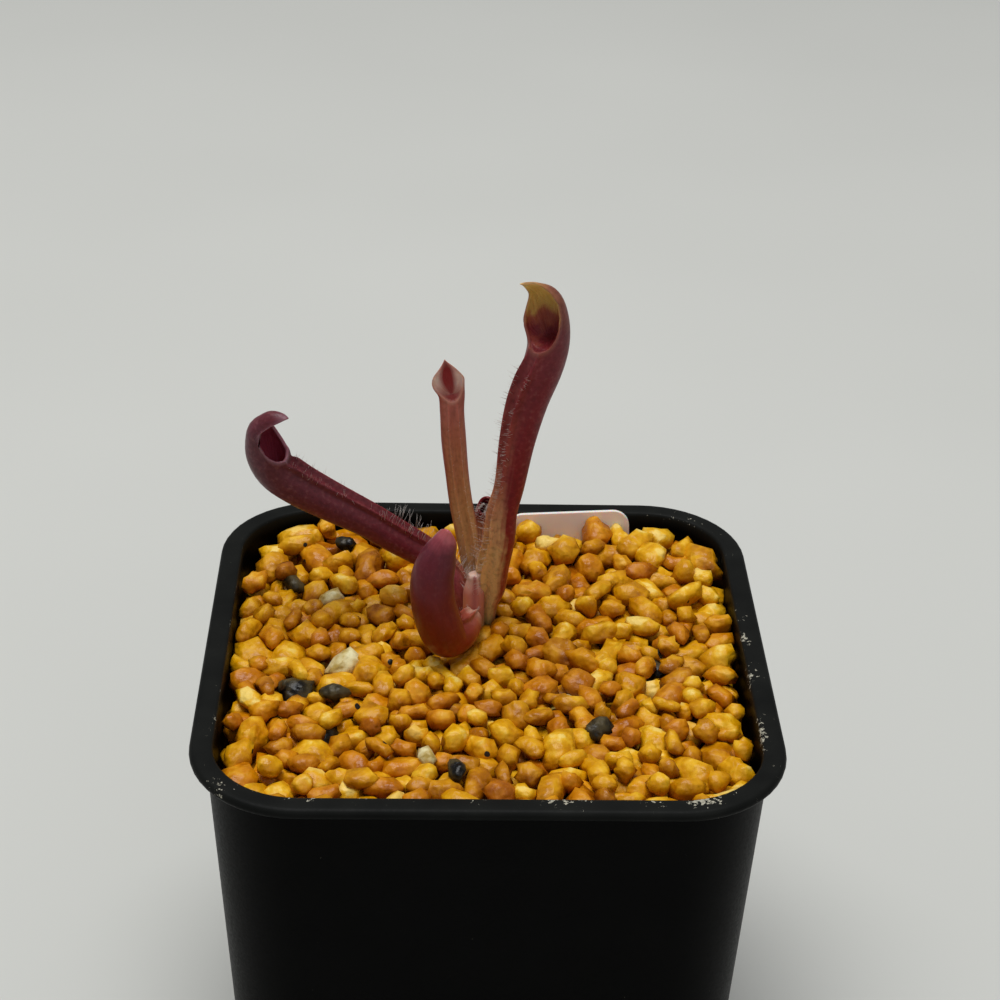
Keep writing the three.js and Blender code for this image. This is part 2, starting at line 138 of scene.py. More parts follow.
def note_of(coords, name):
    """A note that was left on the mesh's vertices."""
    made = coords.id_data.nodes.new("ShaderNodeAttribute")
    made.attribute_name = name
    return made.outputs["Fac"]


def noise_of(coords, spacing, detail=2.0, roughness=0.5):
    """Cloudy noise, from 0 to 1. Its clouds are about one spacing apart."""
    links = {"Vector": coords, "Scale": 1 / spacing, "Detail": detail, "Roughness": roughness}
    return add_node("ShaderNodeTexNoise", links).outputs["Fac"]


def maths(operation, first, second=0.5):
    """The result of a calculation with one or two numbers."""
    return add_node("ShaderNodeMath", {0: first, 1: second}, operation=operation).outputs[0]


def mix(factor, first, second, kind="RGBA"):
    """A mix of two colours, or of two numbers where kind is FLOAT."""
    links = {"Factor": factor, "A": first, "B": second}
    return add_node("ShaderNodeMix", links, data_type=kind).outputs["Result"]


def in_range(value, low, high, out_low=0.0, out_high=1.0):
    """A value that is stretched from one range to another and held at its ends."""
    links = {"Value": value, "From Min": low, "From Max": high, "To Min": out_low, "To Max": out_high}
    return add_node("ShaderNodeMapRange", links).outputs["Result"]


def ramp(factor, stops):
    """A colour picked from a ramp of (place, colour) stops."""
    made = add_node("ShaderNodeValToRGB", {"Fac": factor})
    elements = made.color_ramp.elements
    for i, (place, hex_code) in enumerate(stops):
        stop = elements[i] if i < 2 else elements.new(place)
        stop.position, stop.color = place, linear(hex_code)
    return made.outputs["Color"]


def bump(height, strength, distance, normal=None):
    """A normal tilted by the slopes of a height, on top of another bump's normal if there is one."""
    links = {"Height": height, "Strength": strength, "Distance": distance}
    if normal is not None:
        links["Normal"] = normal
    return add_node("ShaderNodeBump", links).outputs["Normal"]


# %% [markdown]
# Most skins here start as a flat grid that is wrapped round: each grid point is moved to its place on the
# tube, and the grid's two long sides are welded. A point can carry notes, which are numbers that a finish
# reads later.

# %% Mesh helpers
WELD = 0.0001 * MM


def wrap_grid(bm, columns, rows, place, notes=()):
    """Wraps a flat grid round a form. place(i, j) gives the point of column i and row j in millimetres, and
    a number for each note, such as how far along the leaf it lies."""
    layers = [bm.verts.layers.float.get(n) or bm.verts.layers.float.new(n) for n in notes]
    grid = bmesh.ops.create_grid(bm, x_segments=columns, y_segments=rows, size=0.5)["verts"]
    for vert in grid:
        i = round((vert.co.x + 0.5) * columns)
        j = round((vert.co.y + 0.5) * rows)
        point, *values = place(i % columns, j)
        vert.co = Vector(point) * MM
        for layer, value in zip(layers, values):
            vert[layer] = value
    bmesh.ops.remove_doubles(bm, verts=grid, dist=WELD)


def add_object(name, bm, material=None):
    """Turns a finished bmesh into an object of the scene."""
    mesh = bpy.data.meshes.new(name)
    bm.to_mesh(mesh)
    bm.free()
    if material:
        mesh.materials.append(material)
    made = bpy.data.objects.new(name, mesh)
    scene.collection.objects.link(made)
    return made


def make_piece(name, bm, material, replaces=(), smooth=True):
    """Turns a finished bmesh into a piece that rides on the plant's one body."""
    bmesh.ops.recalc_face_normals(bm, faces=bm.faces)
    piece = add_object(name, bm, material)
    piece.data.polygons.foreach_set("use_smooth", [smooth] * len(piece.data.polygons))
    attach(piece, "root")
    if replaces:
        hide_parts(*replaces)
    print(f"{name}: {len(piece.data.polygons)} faces")
    return piece


# %% [markdown]
# ## The pot
#
# The real pot is injection-moulded polypropylene, thin and satin black, with a flat flange and round
# corners. Its section is the same all the way round, so it is one row of square rings with round corners,
# each given by half its width, its corner radius and its height. The grid is wrapped round those rings.

# %% Pot sizes in millimetres
POT_HEIGHT = 68
RIM_WIDTH = 75
RIM_CORNER = 14.2
RIM_THICKNESS = 1.5
OVERHANG = 2
WALL = 1.0
TAPER = 0.055
FOOT_CORNER = 9
FOOT_HEIGHT = 1.2
FLOOR = 1.4
DRAIN_RADIUS = 3.2
DRAIN_OFFSET = 17
CORNER_STEPS = 12
SIDE_STEPS = 6


def wall_size(z):
    """Half width and corner radius of the wall's outside at a height."""
    half = RIM_WIDTH / 2 - OVERHANG - TAPER * (POT_HEIGHT - z)
    corner = FOOT_CORNER + (RIM_CORNER - OVERHANG - FOOT_CORNER) * z / POT_HEIGHT
    return half, corner


def square_ring_point(half, corner, share):
    """The point at a share of the way round a square ring with round corners."""
    steps = CORNER_STEPS + SIDE_STEPS
    quarter, step = divmod(round(share * 4 * steps), steps)
    reach = half - corner
    if step <= CORNER_STEPS:
        angle = step / CORNER_STEPS * pi / 2
        x = reach + corner * cos(angle)
        y = reach + corner * sin(angle)
    else:
        x = reach - 2 * reach * (step - CORNER_STEPS) / SIDE_STEPS
        y = reach + corner
    c, s = cos(quarter * pi / 2), sin(quarter * pi / 2)
    return x * c - y * s, x * s + y * c


# %% Pot profile, from under the floor, up the outside, over the flange and down the inside
def pot_profile():
    """Rows of (half width, corner radius, height)."""
    rows = []

    def wall_row(z, inset=0.0):
        half, corner = wall_size(z)
        rows.append((half - inset, corner - inset, z))

    def rim_row(inset, z):
        rows.append((RIM_WIDTH / 2 - inset, RIM_CORNER - inset, z))

    for z, inset in ((FOOT_HEIGHT, 3.2), (0.15, 3.0), (0, 2.7), (0, 0.7), (0.15, 0.25)):  # the foot ring
        wall_row(z, inset)
    for z in (0.7, 2, 20, 44, 64, 65.6):
        wall_row(z)
    under = POT_HEIGHT - RIM_THICKNESS
    wall_row(under - 0.5)
    wall_row(under - 0.1, -0.15)
    rim_row(OVERHANG - 0.6, under)
    for step in range(9):  # the flange's rounded edge
        angle = pi * (step / 8 - 0.5)
        radius = RIM_THICKNESS / 2
        rim_row(radius * (1 - cos(angle)), POT_HEIGHT - radius * (1 - sin(angle)))
    rim_row(1.4, POT_HEIGHT)
    rim_row(OVERHANG + WALL - 0.4, POT_HEIGHT)
    rim_row(OVERHANG + WALL - 0.1, POT_HEIGHT - 0.12)
    rim_row(OVERHANG + WALL, POT_HEIGHT - 0.5)
    for z in (66, 60, 40, 20, 5):
        wall_row(z, WALL)
    wall_row(FOOT_HEIGHT + FLOOR + 0.5, WALL + 0.3)
    wall_row(FOOT_HEIGHT + FLOOR, WALL + 1.2)
    return rows


PROFILE = pot_profile()
COLUMNS = 4 * (CORNER_STEPS + SIDE_STEPS)


def pot_point(i, j):
    """The pot's skin: row 0 and the last row shrink to a point in the floor's middle."""
    if j in (0, len(PROFILE) + 1):
        return ((0, 0, FOOT_HEIGHT if j == 0 else FOOT_HEIGHT + FLOOR),)
    half, corner, z = PROFILE[j - 1]
    return ((*square_ring_point(half, corner, i / COLUMNS), z),)


# %% [markdown]
# The flange, the wall and the floor come out as one closed skin. Its drain holes are cut with a Boolean
# modifier, because the real ones are plain round holes and a Boolean leaves the skin closed. It can also
# leave slivers too thin to see, and these are welded away afterwards.

# %% Black polypropylene
# Moulded polypropylene, almost black, with the mould's dull grain. The wall is painted darker, as painted
# shade, and the flange lighter, as a painted reflection of the light from above. Dried lime is a thin chalky
# crust that hard water leaves, most of it along the flange's inner edge.
pot_black, shader, coords = new_material("black_polypropylene")
axes = add_node("ShaderNodeSeparateXYZ", {"Vector": coords}).outputs
away = maths("MAXIMUM", maths("ABSOLUTE", axes["X"]), maths("ABSOLUTE", axes["Y"]))
near_rim = in_range(axes["Z"], 66.0 * MM, 67.6 * MM)
inner_edge = in_range(away, 36.4 * MM, 34.9 * MM, 0.35, 1.0)
right_side = in_range(axes["X"], -30 * MM, 34 * MM, 0.6, 1.0)
not_back = in_range(axes["Y"], 26 * MM, 12 * MM, 0.45, 1.0)
patches = noise_of(coords, 6 * MM, 3.0)
amount = in_range(patches, 0.42, 0.66)
for share in (near_rim, inner_edge, right_side, not_back):
    amount = maths("MULTIPLY", amount, share)
crust = noise_of(coords, 0.55 * MM, 5.0, 0.65)
lime = maths("GREATER_THAN", crust, in_range(amount, 0.0, 1.0, 0.76, 0.5))
grain = noise_of(coords, 0.4 * MM, 4.0)
# The wall's black is painted darker, as painted shade, and the flange's lighter, as a painted reflection.
wall_black_painted_shade = ramp(patches, [(0.3, "#010101"), (0.75, "#030303")])
rim_black_painted_reflection = ramp(patches, [(0.3, "#131413"), (0.75, "#1c1d1b")])
black = mix(near_rim, wall_black_painted_shade, rim_black_painted_reflection)
connect(shader, {
    "Base Color": mix(lime, black, linear("#a9a594")),
    "Roughness": mix(lime, in_range(grain, 0.3, 0.7, 0.36, 0.5), 0.9, "FLOAT"),
    "Specular IOR Level": 0.04,
    "Normal": bump(grain, 0.15, 0.05 * MM),
})

# %% Pot
bm = bmesh.new()
wrap_grid(bm, COLUMNS, len(PROFILE) + 1, pot_point)
pot = make_piece("pot_shell", bm, pot_black, replaces=["pot"])

# %% Drain holes
DRILL_DEPTH = 6
SLIVER = 0.001 * MM

bm = bmesh.new()
radius = DRAIN_RADIUS * MM
drill = dict(cap_ends=True, segments=32, radius1=radius, radius2=radius, depth=DRILL_DEPTH * MM)
for x, y in ((-1, -1), (-1, 1), (0, 0), (1, -1), (1, 1)):
    centre = Vector((x * DRAIN_OFFSET, y * DRAIN_OFFSET, FOOT_HEIGHT)) * MM
    bmesh.ops.create_cone(bm, matrix=Matrix.Translation(centre), **drill)
drain_cutter = add_object("drain_cutter", bm)
cut = pot.modifiers.new("drains", "BOOLEAN")
cut.operation, cut.solver, cut.object = "DIFFERENCE", "EXACT", drain_cutter
bpy.context.view_layer.update()
cut_mesh = bpy.data.meshes.new_from_object(pot.evaluated_get(bpy.context.evaluated_depsgraph_get()))
pot.modifiers.clear()
bpy.data.objects.remove(drain_cutter)

bm = bmesh.new()
bm.from_mesh(cut_mesh)
bmesh.ops.remove_doubles(bm, verts=bm.verts, dist=SLIVER)
bmesh.ops.dissolve_degenerate(bm, edges=bm.edges, dist=SLIVER)
bm.to_mesh(cut_mesh)
bm.free()
pot.data = cut_mesh
print("pot_shell after its drain holes:", len(pot.data.polygons), "faces")

# %% [markdown]
# ## The leaves
#
# Each pitcher is one leaf rolled into a tube. Its spine runs through stations: a point, half the leaf's
# width and half its depth. A Catmull-Rom curve passes smoothly through them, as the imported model's does.
# Round the spine the skin is an ellipse, with two thin wings down the front. The tube ends at a slanted
# edge: low at the front, where it is the mouth's lip, and running up the back to the hood's tip. There the
# skin turns over a rounded lip and goes down again inside, so each leaf is one closed, thin-walled mesh.

# %% Leaf stations in millimetres, from the base to the hood's tip: x, y, z, half width, half depth
RIGHT_STATIONS = [
    (0.6, 11, 63.2, 1.2, 0.8), (0.5, 11, 65.5, 1.6, 1),
    (0.6, 10.8, 68, 2, 1.25), (1.1, 10.2, 70.6, 2.2, 1.65),
    (1.3, 9.2, 74.2, 2.1, 1.8), (2, 8.2, 78.9, 1.9, 1.75),
    (2.3, 8, 83.4, 1.7, 1.7), (3.2, 8, 87.6, 1.7, 1.65),
    (4, 8, 94.1, 2.1, 2), (5.1, 8, 100, 2.4, 2.45),
    (6.7, 8, 105.3, 2.6, 2.75), (7.4, 8, 108.9, 2.6, 2.75),
    (7.2, 7.7, 112.3, 2.6, 2.5), (6.5, 7.3, 115, 2.3, 2),
    (5.2, 6.6, 116.7, 1.4, 1), (4.1, 6.1, 117.4, 0.8, 0.5),
    (3.2, 5.8, 117.7, 0.2, 0.2),
]
FRONT_STATIONS = [
    (-2.2, 8.8, 63.2, 1.2, 1), (-2, 7.8, 66.4, 1.5, 1.3),
    (-2.3, 4.8, 67.7, 1.8, 1.7), (-3.3, 1.9, 68.1, 2.3, 2.2),
    (-4.9, 0.1, 68.5, 2.7, 2.8), (-6, -0.7, 70.2, 3, 3),
    (-7.1, -0.5, 74, 3, 2.95), (-7.3, 0.1, 77.5, 2.95, 2.7),
    (-6.7, 0.5, 80.2, 2.6, 2.4), (-5.9, 0.5, 82.8, 1.75, 1.6),
    (-5.1, 0.3, 85.2, 0.45, 0.45),
]
LEFT_STATIONS = [
    (-2.9, 11.7, 63.1, 1.3, 1), (-3.2, 11.9, 67.1, 1.6, 1.3),
    (-4.6, 12.4, 70.6, 1.7, 1.6), (-8.2, 12.9, 73.4, 1.8, 1.85),
    (-12.6, 13, 76.2, 2, 2.05), (-16.5, 13, 78.8, 2.1, 2.15),
    (-21.8, 13, 81.8, 2.4, 2.45), (-26, 13, 84.4, 2.6, 2.7),
    (-28.7, 13, 86.8, 2.7, 2.8), (-29.9, 12.9, 89.8, 2.7, 2.75),
    (-30.4, 12.5, 92.7, 2.2, 1.85), (-29.6, 12, 94, 1.8, 1.6),
    (-28.5, 11.4, 94.8, 1.4, 1.6), (-27.3, 10.8, 95.4, 0.9, 1.05),
    (-26.4, 10.4, 95.8, 0.25, 0.2),
]
MIDDLE_STATIONS = [
    (-1.6, 13.6, 63.7, 1, 0.9), (-1.6, 14.6, 67.1, 1.3, 1),
    (-1.9, 15, 71.1, 1.45, 1.1), (-2.6, 15, 76, 1.6, 1.2),
    (-3.5, 15, 80.8, 1.6, 1.25), (-4.1, 15, 85.4, 1.6, 1.3),
    (-4.6, 15, 90.3, 1.7, 1.3), (-4.9, 15, 94.8, 1.65, 1),
    (-5, 14.9, 97.5, 1.8, 0.6), (-5.5, 14.6, 99.6, 2.15, 0.5),
    (-5.7, 14.2, 101.4, 1.45, 0.42), (-6, 13.9, 103.1, 0.3, 0.35),
]
YOUNG_STATIONS = [
    (0, 12.6, 64.3, 0.9, 0.8), (-0.2, 13.4, 68.9, 1.1, 0.9),
    (-0.3, 15.2, 73.7, 1.3, 1.1), (-0.2, 16.6, 76.9, 1.5, 1.3),
    (0, 16.9, 78.9, 1.3, 1.2), (0.2, 16.5, 80.1, 0.9, 0.8),
    (0.3, 16.1, 80.8, 0.35, 0.35),
]

# %% [markdown]
# sides point across the leaf, evenly spaced from its base to its tip, and turn a leaf's face. mouth is the
# place of the front lip, as a share of the stations. rim gives the place of the mouth's edge at angles
# round the leaf, in degrees from its back: values near 1 keep a side of the hood long, smaller ones cut the
# mouth deep. cavity is where the round bottom of the hollow is, wing the height of the two wings, lip how
# thick the mouth's edge is, and margin the share of the inside that keeps the edge's colour. ear makes one
# side of the mouth swell out and pinches the hood above it: the angle, then the place and millimetres of
# the swelling and of the pinch. slot is the leaf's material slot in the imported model.

# %% Leaf forms
LEAVES = {
    "right": dict(
        slot="leaf_maroon",
        stations=RIGHT_STATIONS,
        sides=[(0.3, -1, 0), (0.3, -1, 0), (0.45, -1, 0), (0.93, -0.6, 0), (0.75, -0.35, 0.7)],
        rim=[(0, 1), (45, 0.95), (75, 0.9), (100, 0.84), (112, 0.75), (138, 0.69), (180, 0.665)],
        mouth=0.665, cavity=0.69, wing=0.75, lip=0.3, margin=0.1,
        ear=(252, 0.735, 0.75, 0.87, 0.6),
    ),
    "front": dict(
        slot="leaf_plum",
        stations=FRONT_STATIONS,
        sides=[(-0.85, 0.5, 0), (-0.85, 0.5, 0)],
        rim=[(0, 1), (60, 0.99), (90, 0.97), (120, 0.93), (150, 0.86), (180, 0.82)],
        mouth=0.82, cavity=0.6, wing=0.55, lip=0.7, margin=0.1,
    ),
    "left": dict(
        slot="leaf_plum",
        stations=LEFT_STATIONS,
        sides=[(0, 1, 0), (0.57, 0.82, 0)],
        rim=[(0, 1), (30, 0.976), (60, 0.91), (90, 0.816), (120, 0.718), (150, 0.639), (180, 0.604)]
        + [(215, 0.612), (235, 0.635), (248, 0.68), (255, 0.74), (259, 0.82), (263, 0.92), (285, 0.985)],
        mouth=0.604, cavity=0.56, wing=0.75, lip=0.45, margin=0.12,
    ),
    "middle": dict(
        slot="leaf_tan",
        stations=MIDDLE_STATIONS,
        sides=[(1, 0.15, 0), (1, 0.15, 0)],
        rim=[(0, 1), (30, 0.955), (60, 0.89), (90, 0.82), (120, 0.75), (150, 0.71), (180, 0.69)],
        mouth=0.69, cavity=0.73, wing=0.3, lip=0.2, margin=0.3,
    ),
    "young": dict(
        slot="leaf_crimson",
        stations=YOUNG_STATIONS,
        sides=[(0.9, -0.5, 0), (0.9, -0.5, 0)],
        rim=[(0, 1), (60, 0.95), (90, 0.85), (120, 0.75), (180, 0.6)],
        mouth=0.6, cavity=0.4, wing=0.4, lip=0.4, margin=0.1,
    ),
}
LEAF_WALL = 0.35
WING_ANGLE = 160
GROOVE = 0.12


# %% Spine and section of a leaf
def smoothstep(low, high, value):
    """0 below low, 1 above high, and an S between them."""
    share = min(max((value - low) / (high - low), 0), 1)
    return share * share * (3 - 2 * share)


def with_ends(stations):
    """The stations as rows of an array, with one more row at each end for the curve to start and stop by."""
    rows = np.array(stations, float)
    return np.vstack((2 * rows[0] - rows[1], rows, 2 * rows[-1] - rows[-2]))


def through_stations(rows, u):
    """The numbers of a Catmull-Rom curve through the stations, at a share u of them."""
    place = min(max(u, 0), 1) * (len(rows) - 3)
    k = min(int(place), len(rows) - 4)
    t = place - k
    a, b, c, d = rows[k : k + 4]
    return 0.5 * (2 * b + (c - a) * t + (2 * a - 5 * b + 4 * c - d) * t**2 + (3 * b - a - 3 * c + d) * t**3)


def rim_round(rim):
    """The mouth's edge at every half degree, its corners rounded. A table up to 180 is for both sides."""
    table = rim if rim[-1][0] > 180 else rim + [(360 - angle, place) for angle, place in rim[-2:0:-1]]
    angles, places = zip(*table)
    turns = np.arange(720) / 2
    return sum(np.interp(turns + blur, angles, places, period=360) for blur in (-10, -5, 0, 5, 10)) / 5


for leaf in LEAVES.values():
    places = [Vector(station[:3]) for station in leaf["stations"]]
    leaf["rows"] = with_ends(leaf["stations"])
    leaf["edge"] = rim_round(leaf["rim"])
    leaf["length"] = sum((b - a).length for a, b in zip(places, places[1:]))


def leaf_section(leaf, u):
    """The spine's point, the directions to the leaf's back and side, half its depth and half its width."""
    here = through_stations(leaf["rows"], u)
    ahead = through_stations(leaf["rows"], min(u + 1e-3, 1))
    behind = through_stations(leaf["rows"], max(u - 1e-3, 0))
    tangent = Vector(ahead[:3] - behind[:3]).normalized()
    place = min(max(u, 0), 1) * (len(leaf["sides"]) - 1)
    k = min(int(place), len(leaf["sides"]) - 2)
    across = Vector(leaf["sides"][k]).lerp(Vector(leaf["sides"][k + 1]), place - k)
    side = (across - tangent * across.dot(tangent)).normalized()
    return Vector(here[:3]), tangent.cross(side).normalized(), side, max(here[4], 0.2), max(here[3], 0.2)


# %% Skin of a leaf
def wing_rise(leaf, u, angle):
    """How far the skin stands out at an angle from the back: two wing ridges and the groove between them."""
    rise = smoothstep(0.05, 0.25, u)
    fade = 1 - smoothstep(leaf["mouth"] - 0.07, leaf["mouth"], u)
    ridge = exp(-(((angle - WING_ANGLE) / 6) ** 2))
    groove = smoothstep(WING_ANGLE + 4, 178, angle)
    return leaf["wing"] * ridge * rise * (0.3 + 0.7 * fade) - GROOVE * groove * fade


def ear_rise(leaf, u, full_angle):
    """How far the side of the mouth stands out where it has an ear."""
    if "ear" not in leaf:
        return 0
    ear_angle, swell_at, swelling, pinch_at, pinch = leaf["ear"]
    near = exp(-(((full_angle - ear_angle) / 26) ** 2))
    out = swelling * exp(-(((u - swell_at) / 0.05) ** 2))
    return near * (out - pinch * exp(-(((u - pinch_at) / 0.035) ** 2)))


def skin_point(leaf, u, full_angle, swell=0):
    """A point of the skin, moved outwards by swell."""
    spine, back, side, deep, wide = leaf_section(leaf, u)
    turned = radians(full_angle)
    out = swell + wing_rise(leaf, u, min(full_angle, 360 - full_angle)) + ear_rise(leaf, u, full_angle)
    deep, wide = max(deep + out, 0.12), max(wide + out, 0.12)
    return spine + back * deep * cos(turned) + side * wide * sin(turned)


# %% [markdown]
# The columns round a leaf stand close together at the thin wings, and wide apart on the plain back.

# %% Columns round a leaf, in degrees from the back
HALF_ROUND = [8 * k for k in range(17)] + [140, 145, 149, 152, 155, 157.5, 160, 162.5, 165, 168, 172, 176]
LEAF_ANGLES = HALF_ROUND + [180] + [360 - a for a in reversed(HALF_ROUND[1:])]
TRUNK_ROWS, HEAD_ROWS, LIP_ROWS, INSIDE_ROWS = 56, 30, 6, 26
LEAF_ROWS = 1 + TRUNK_ROWS + HEAD_ROWS + LIP_ROWS + INSIDE_ROWS + 1
HEAD_START = 0.1  # the rows bend towards the slanted mouth from this far below its front lip
THICKEST = 0.7  # the wall never takes up more of the leaf's half width than this
LEAF_NOTES = ("along", "round", "inside", "edge")


def leaf_point(leaf, i, j):
    """A point of a leaf's closed skin and its notes: how far along and round, inside, near the edge."""
    full_angle = LEAF_ANGLES[i]
    angle = min(full_angle, 360 - full_angle)
    turned = angle / 180
    start = leaf["mouth"] - HEAD_START
    rim = leaf["edge"][round(2 * full_angle) % 720]
    flare = 0.3 * leaf["lip"] * smoothstep(30, 100, angle)
    j -= 1
    if j < 0:
        return leaf_section(leaf, 0)[0], 0, turned, 0, 0
    if j <= TRUNK_ROWS:
        u = start * j / TRUNK_ROWS
        return skin_point(leaf, u, full_angle), u, turned, 0, 0
    j -= TRUNK_ROWS
    if j <= HEAD_ROWS:
        share = j / HEAD_ROWS
        u = start + (rim - start) * share
        point = skin_point(leaf, u, full_angle, flare * smoothstep(0.7, 1, share))
        return point, u, turned, 0, smoothstep(0.8, 1, share)
    lip = min(leaf["lip"], THICKEST * min(leaf_section(leaf, rim)[3:]))
    j -= HEAD_ROWS
    if j <= LIP_ROWS:
        turn = pi * j / (LIP_ROWS + 1)
        inward = lip * (1 - cos(turn)) / 2
        length = 0.5 * lip * sin(turn) / leaf["length"] * smoothstep(20, 70, angle)
        return skin_point(leaf, rim + length, full_angle, flare - inward), rim, turned, j / (LIP_ROWS + 1), 1
    share = (j - LIP_ROWS) / (INSIDE_ROWS + 1)
    u = rim + (leaf["cavity"] - rim) * share
    if share >= 1:
        return leaf_section(leaf, leaf["cavity"])[0], u, turned, 1, 0
    spine, back, side, deep, wide = leaf_section(leaf, u)
    wall = LEAF_WALL + (lip - flare - LEAF_WALL) * (1 - smoothstep(0, 0.25, share))
    inward = min(wall, THICKEST * min(deep, wide)) - ear_rise(leaf, u, full_angle)
    bowl = sqrt(1 - share**3)
    deep, wide = max(deep - inward, 0.06) * bowl, max(wide - inward, 0.06) * bowl
    around = radians(full_angle)
    point = spine + back * deep * cos(around) + side * wide * sin(around)
    return point, u, turned, 1, 1 - smoothstep(0, leaf["margin"], share)


# %% [markdown]
# A leaf's colour changes along it: pale and greenish at the base, deep red on the trunk, and brown or olive
# in the hood. It changes round it too, for the side with the wings is paler. The notes on the mesh say
# where each point lies on the leaf, so colour ramps can follow the leaf instead of the room. Faint streaks
# that run along the leaf are its nerves. A pitcher's skin is waxy, so it has a soft gloss, and light passes
# through the thin wall, which makes the hood glow.


# %% Leaf skin
def leaf_skin(name, back, front, throat, rim, turns=(0.5, 0.5), flap=None, rough=0.44, coat=0.1, wrinkled=1):
    """Waxy leaf skin. back, front and throat are colours from base to tip, rim the mouth's edge and its
    share. turns is where round the leaf its front colours start, at the base and above it. flap is the
    colours of a hood's two thin sides. wrinkled is 1 for a grown leaf and less for a plump young one."""
    made, shader, coords = new_material(name)
    along, turned, inside, edge = (note_of(coords, note) for note in LEAF_NOTES)
    blotch = noise_of(coords, 2.5 * MM, 4.0)
    place = maths("ADD", along, in_range(blotch, 0.3, 0.7, -0.035, 0.035))

    # Nerves run along the leaf, about 20 round it, and wander a little.
    nerve_turn, nerve_length = maths("MULTIPLY", turned, 14.0), maths("MULTIPLY", along, 9.0)
    nerve_axes = {"X": nerve_turn, "Y": nerve_length, "Z": inside}
    nerve_grid = add_node("ShaderNodeCombineXYZ", nerve_axes).outputs["Vector"]
    nerves = noise_of(nerve_grid, 1.0, 4.0, 0.6)
    facing = maths("ADD", turned, in_range(nerves, 0.3, 0.7, -0.06, 0.06))
    facing = maths("SUBTRACT", facing, in_range(place, 0.27, 0.45, *turns))
    facing = in_range(facing, -0.08, 0.1)
    skin = mix(facing, ramp(place, back), ramp(place, front))
    skin = mix(in_range(nerves, 0.45, 0.7, 0.0, 0.22), skin, linear("#3a0508"))

    # Blunt wrinkles, 0.6 mm apart, break up the gloss as the real skin does. Their hollows are painted
    # darker, as painted shade, and their tops a little paler, as a painted sheen.
    wrinkles = noise_of(coords, 0.6 * MM, 3.0)
    skin = mix(in_range(wrinkles, 0.52, 0.3, 0.0, 0.3 * wrinkled), skin, linear("#2c0406"))
    skin = mix(in_range(wrinkles, 0.55, 0.74, 0.0, 0.14 * wrinkled), skin, linear("#bc8478"))

    lining = ramp(place, throat)
    if flap:
        beside = in_range(turned, 0.12, 0.3)
        beside = maths("MULTIPLY", beside, in_range(turned, 0.9, 0.6))
        beside = maths("MULTIPLY", beside, in_range(place, 0.95, 0.84))
        lining = mix(beside, lining, ramp(place, flap))
    skin = mix(inside, skin, lining)

    # Inside the mouth the skin lies in soft folds that run down into the hollow.
    relief = bump(wrinkles, 0.55 * wrinkled, 0.18 * MM)
    folds = bump(nerves, in_range(inside, 0.5, 1.0, 0.0, 0.8), 0.6 * MM, relief)
    rim_colour, rim_share = rim
    connect(shader, {
        "Base Color": mix(maths("MULTIPLY", edge, rim_share), skin, linear(rim_colour)),
        "Roughness": in_range(blotch, 0.3, 0.7, rough - 0.06, rough + 0.1),
        "Normal": folds,
        "IOR": 1.4,
        "Specular IOR Level": 0.3,
        "Subsurface Weight": 0.3,
        "Subsurface Radius": (1.0, 0.45, 0.25),
        "Subsurface Scale": 0.7 * MM,
        "Coat Weight": coat,
        "Coat Roughness": 0.25,
    })
    return made


# %% [markdown]
# The colours were matched one leaf at a time. The tall leaf's hood is olive inside, where the light
# comes through.

# %% Leaf finishes, each as colour stops from the base (0) to the hood's tip (1)
RIGHT_BACK = [
    (0.0, "#c08a50"), (0.12, "#b46a3c"), (0.2, "#983824"), (0.28, "#8a2420"), (0.42, "#801c22"),
    (0.52, "#7c1e28"), (0.64, "#74222c"), (0.74, "#742c30"), (0.81, "#844c3a"), (0.9, "#a07038"),
    (1.0, "#e2b880"),
]
RIGHT_FRONT = [
    (0.0, "#e4c878"), (0.16, "#ecd08c"), (0.28, "#e8c080"), (0.38, "#cc9068"), (0.48, "#9a4640"),
    (0.6, "#7c2428"), (0.72, "#84333a"),
]
# Its pale olive stops are partly the hood's own olive and partly painted light that comes through the thin
# hood.
RIGHT_THROAT_PAINTED_GLOW = [
    (0.6, "#6a1c20"), (0.7, "#842a30"), (0.74, "#a8583e"), (0.77, "#cca256"), (0.88, "#ecd070"),
    (1.0, "#f0cc90"),
]
LEFT_BACK = [
    (0.0, "#b06a4c"), (0.15, "#944048"), (0.26, "#70222a"), (0.45, "#62242c"), (0.6, "#602a30"),
    (0.72, "#683640"), (0.85, "#662c34"), (1.0, "#602c36"),
]
LEFT_FRONT = [(0.0, "#c08a62"), (0.14, "#b07058"), (0.24, "#74282e"), (0.6, "#5c2229")]
LEFT_THROAT = [(0.4, "#983448"), (0.62, "#9c3648"), (0.8, "#8a3a44"), (1.0, "#723a3d")]
FRONT_BACK = [
    (0.0, "#d0a080"), (0.14, "#c07c5c"), (0.26, "#943a22"), (0.36, "#862a14"), (0.5, "#74200e"),
    (0.62, "#6e1c16"), (0.74, "#641e28"), (0.86, "#662632"), (0.94, "#92424c"), (1.0, "#c06a70"),
]
FRONT_FRONT = [(0.0, "#f0d8c0"), (0.14, "#d8a890"), (0.22, "#a05040"), (0.32, "#80301c"), (0.6, "#74242a")]
FRONT_THROAT = [(0.5, "#40060a"), (1.0, "#8a3a3e")]
MIDDLE_BACK = [
    (0.0, "#cc9866"), (0.16, "#b47048"), (0.3, "#a85038"), (0.45, "#9e4030"), (0.62, "#a24634"),
    (0.8, "#964038"), (1.0, "#81232a"),
]
MIDDLE_FRONT = [
    (0.0, "#ecca90"), (0.16, "#dcb27a"), (0.35, "#d29e68"), (0.45, "#c6865a"), (0.6, "#b66c50"),
    (0.7, "#b8685c"),
]
MIDDLE_THROAT = [(0.62, "#b0584e"), (0.8, "#a03a3c"), (0.9, "#94282e"), (1.0, "#8a1c24")]
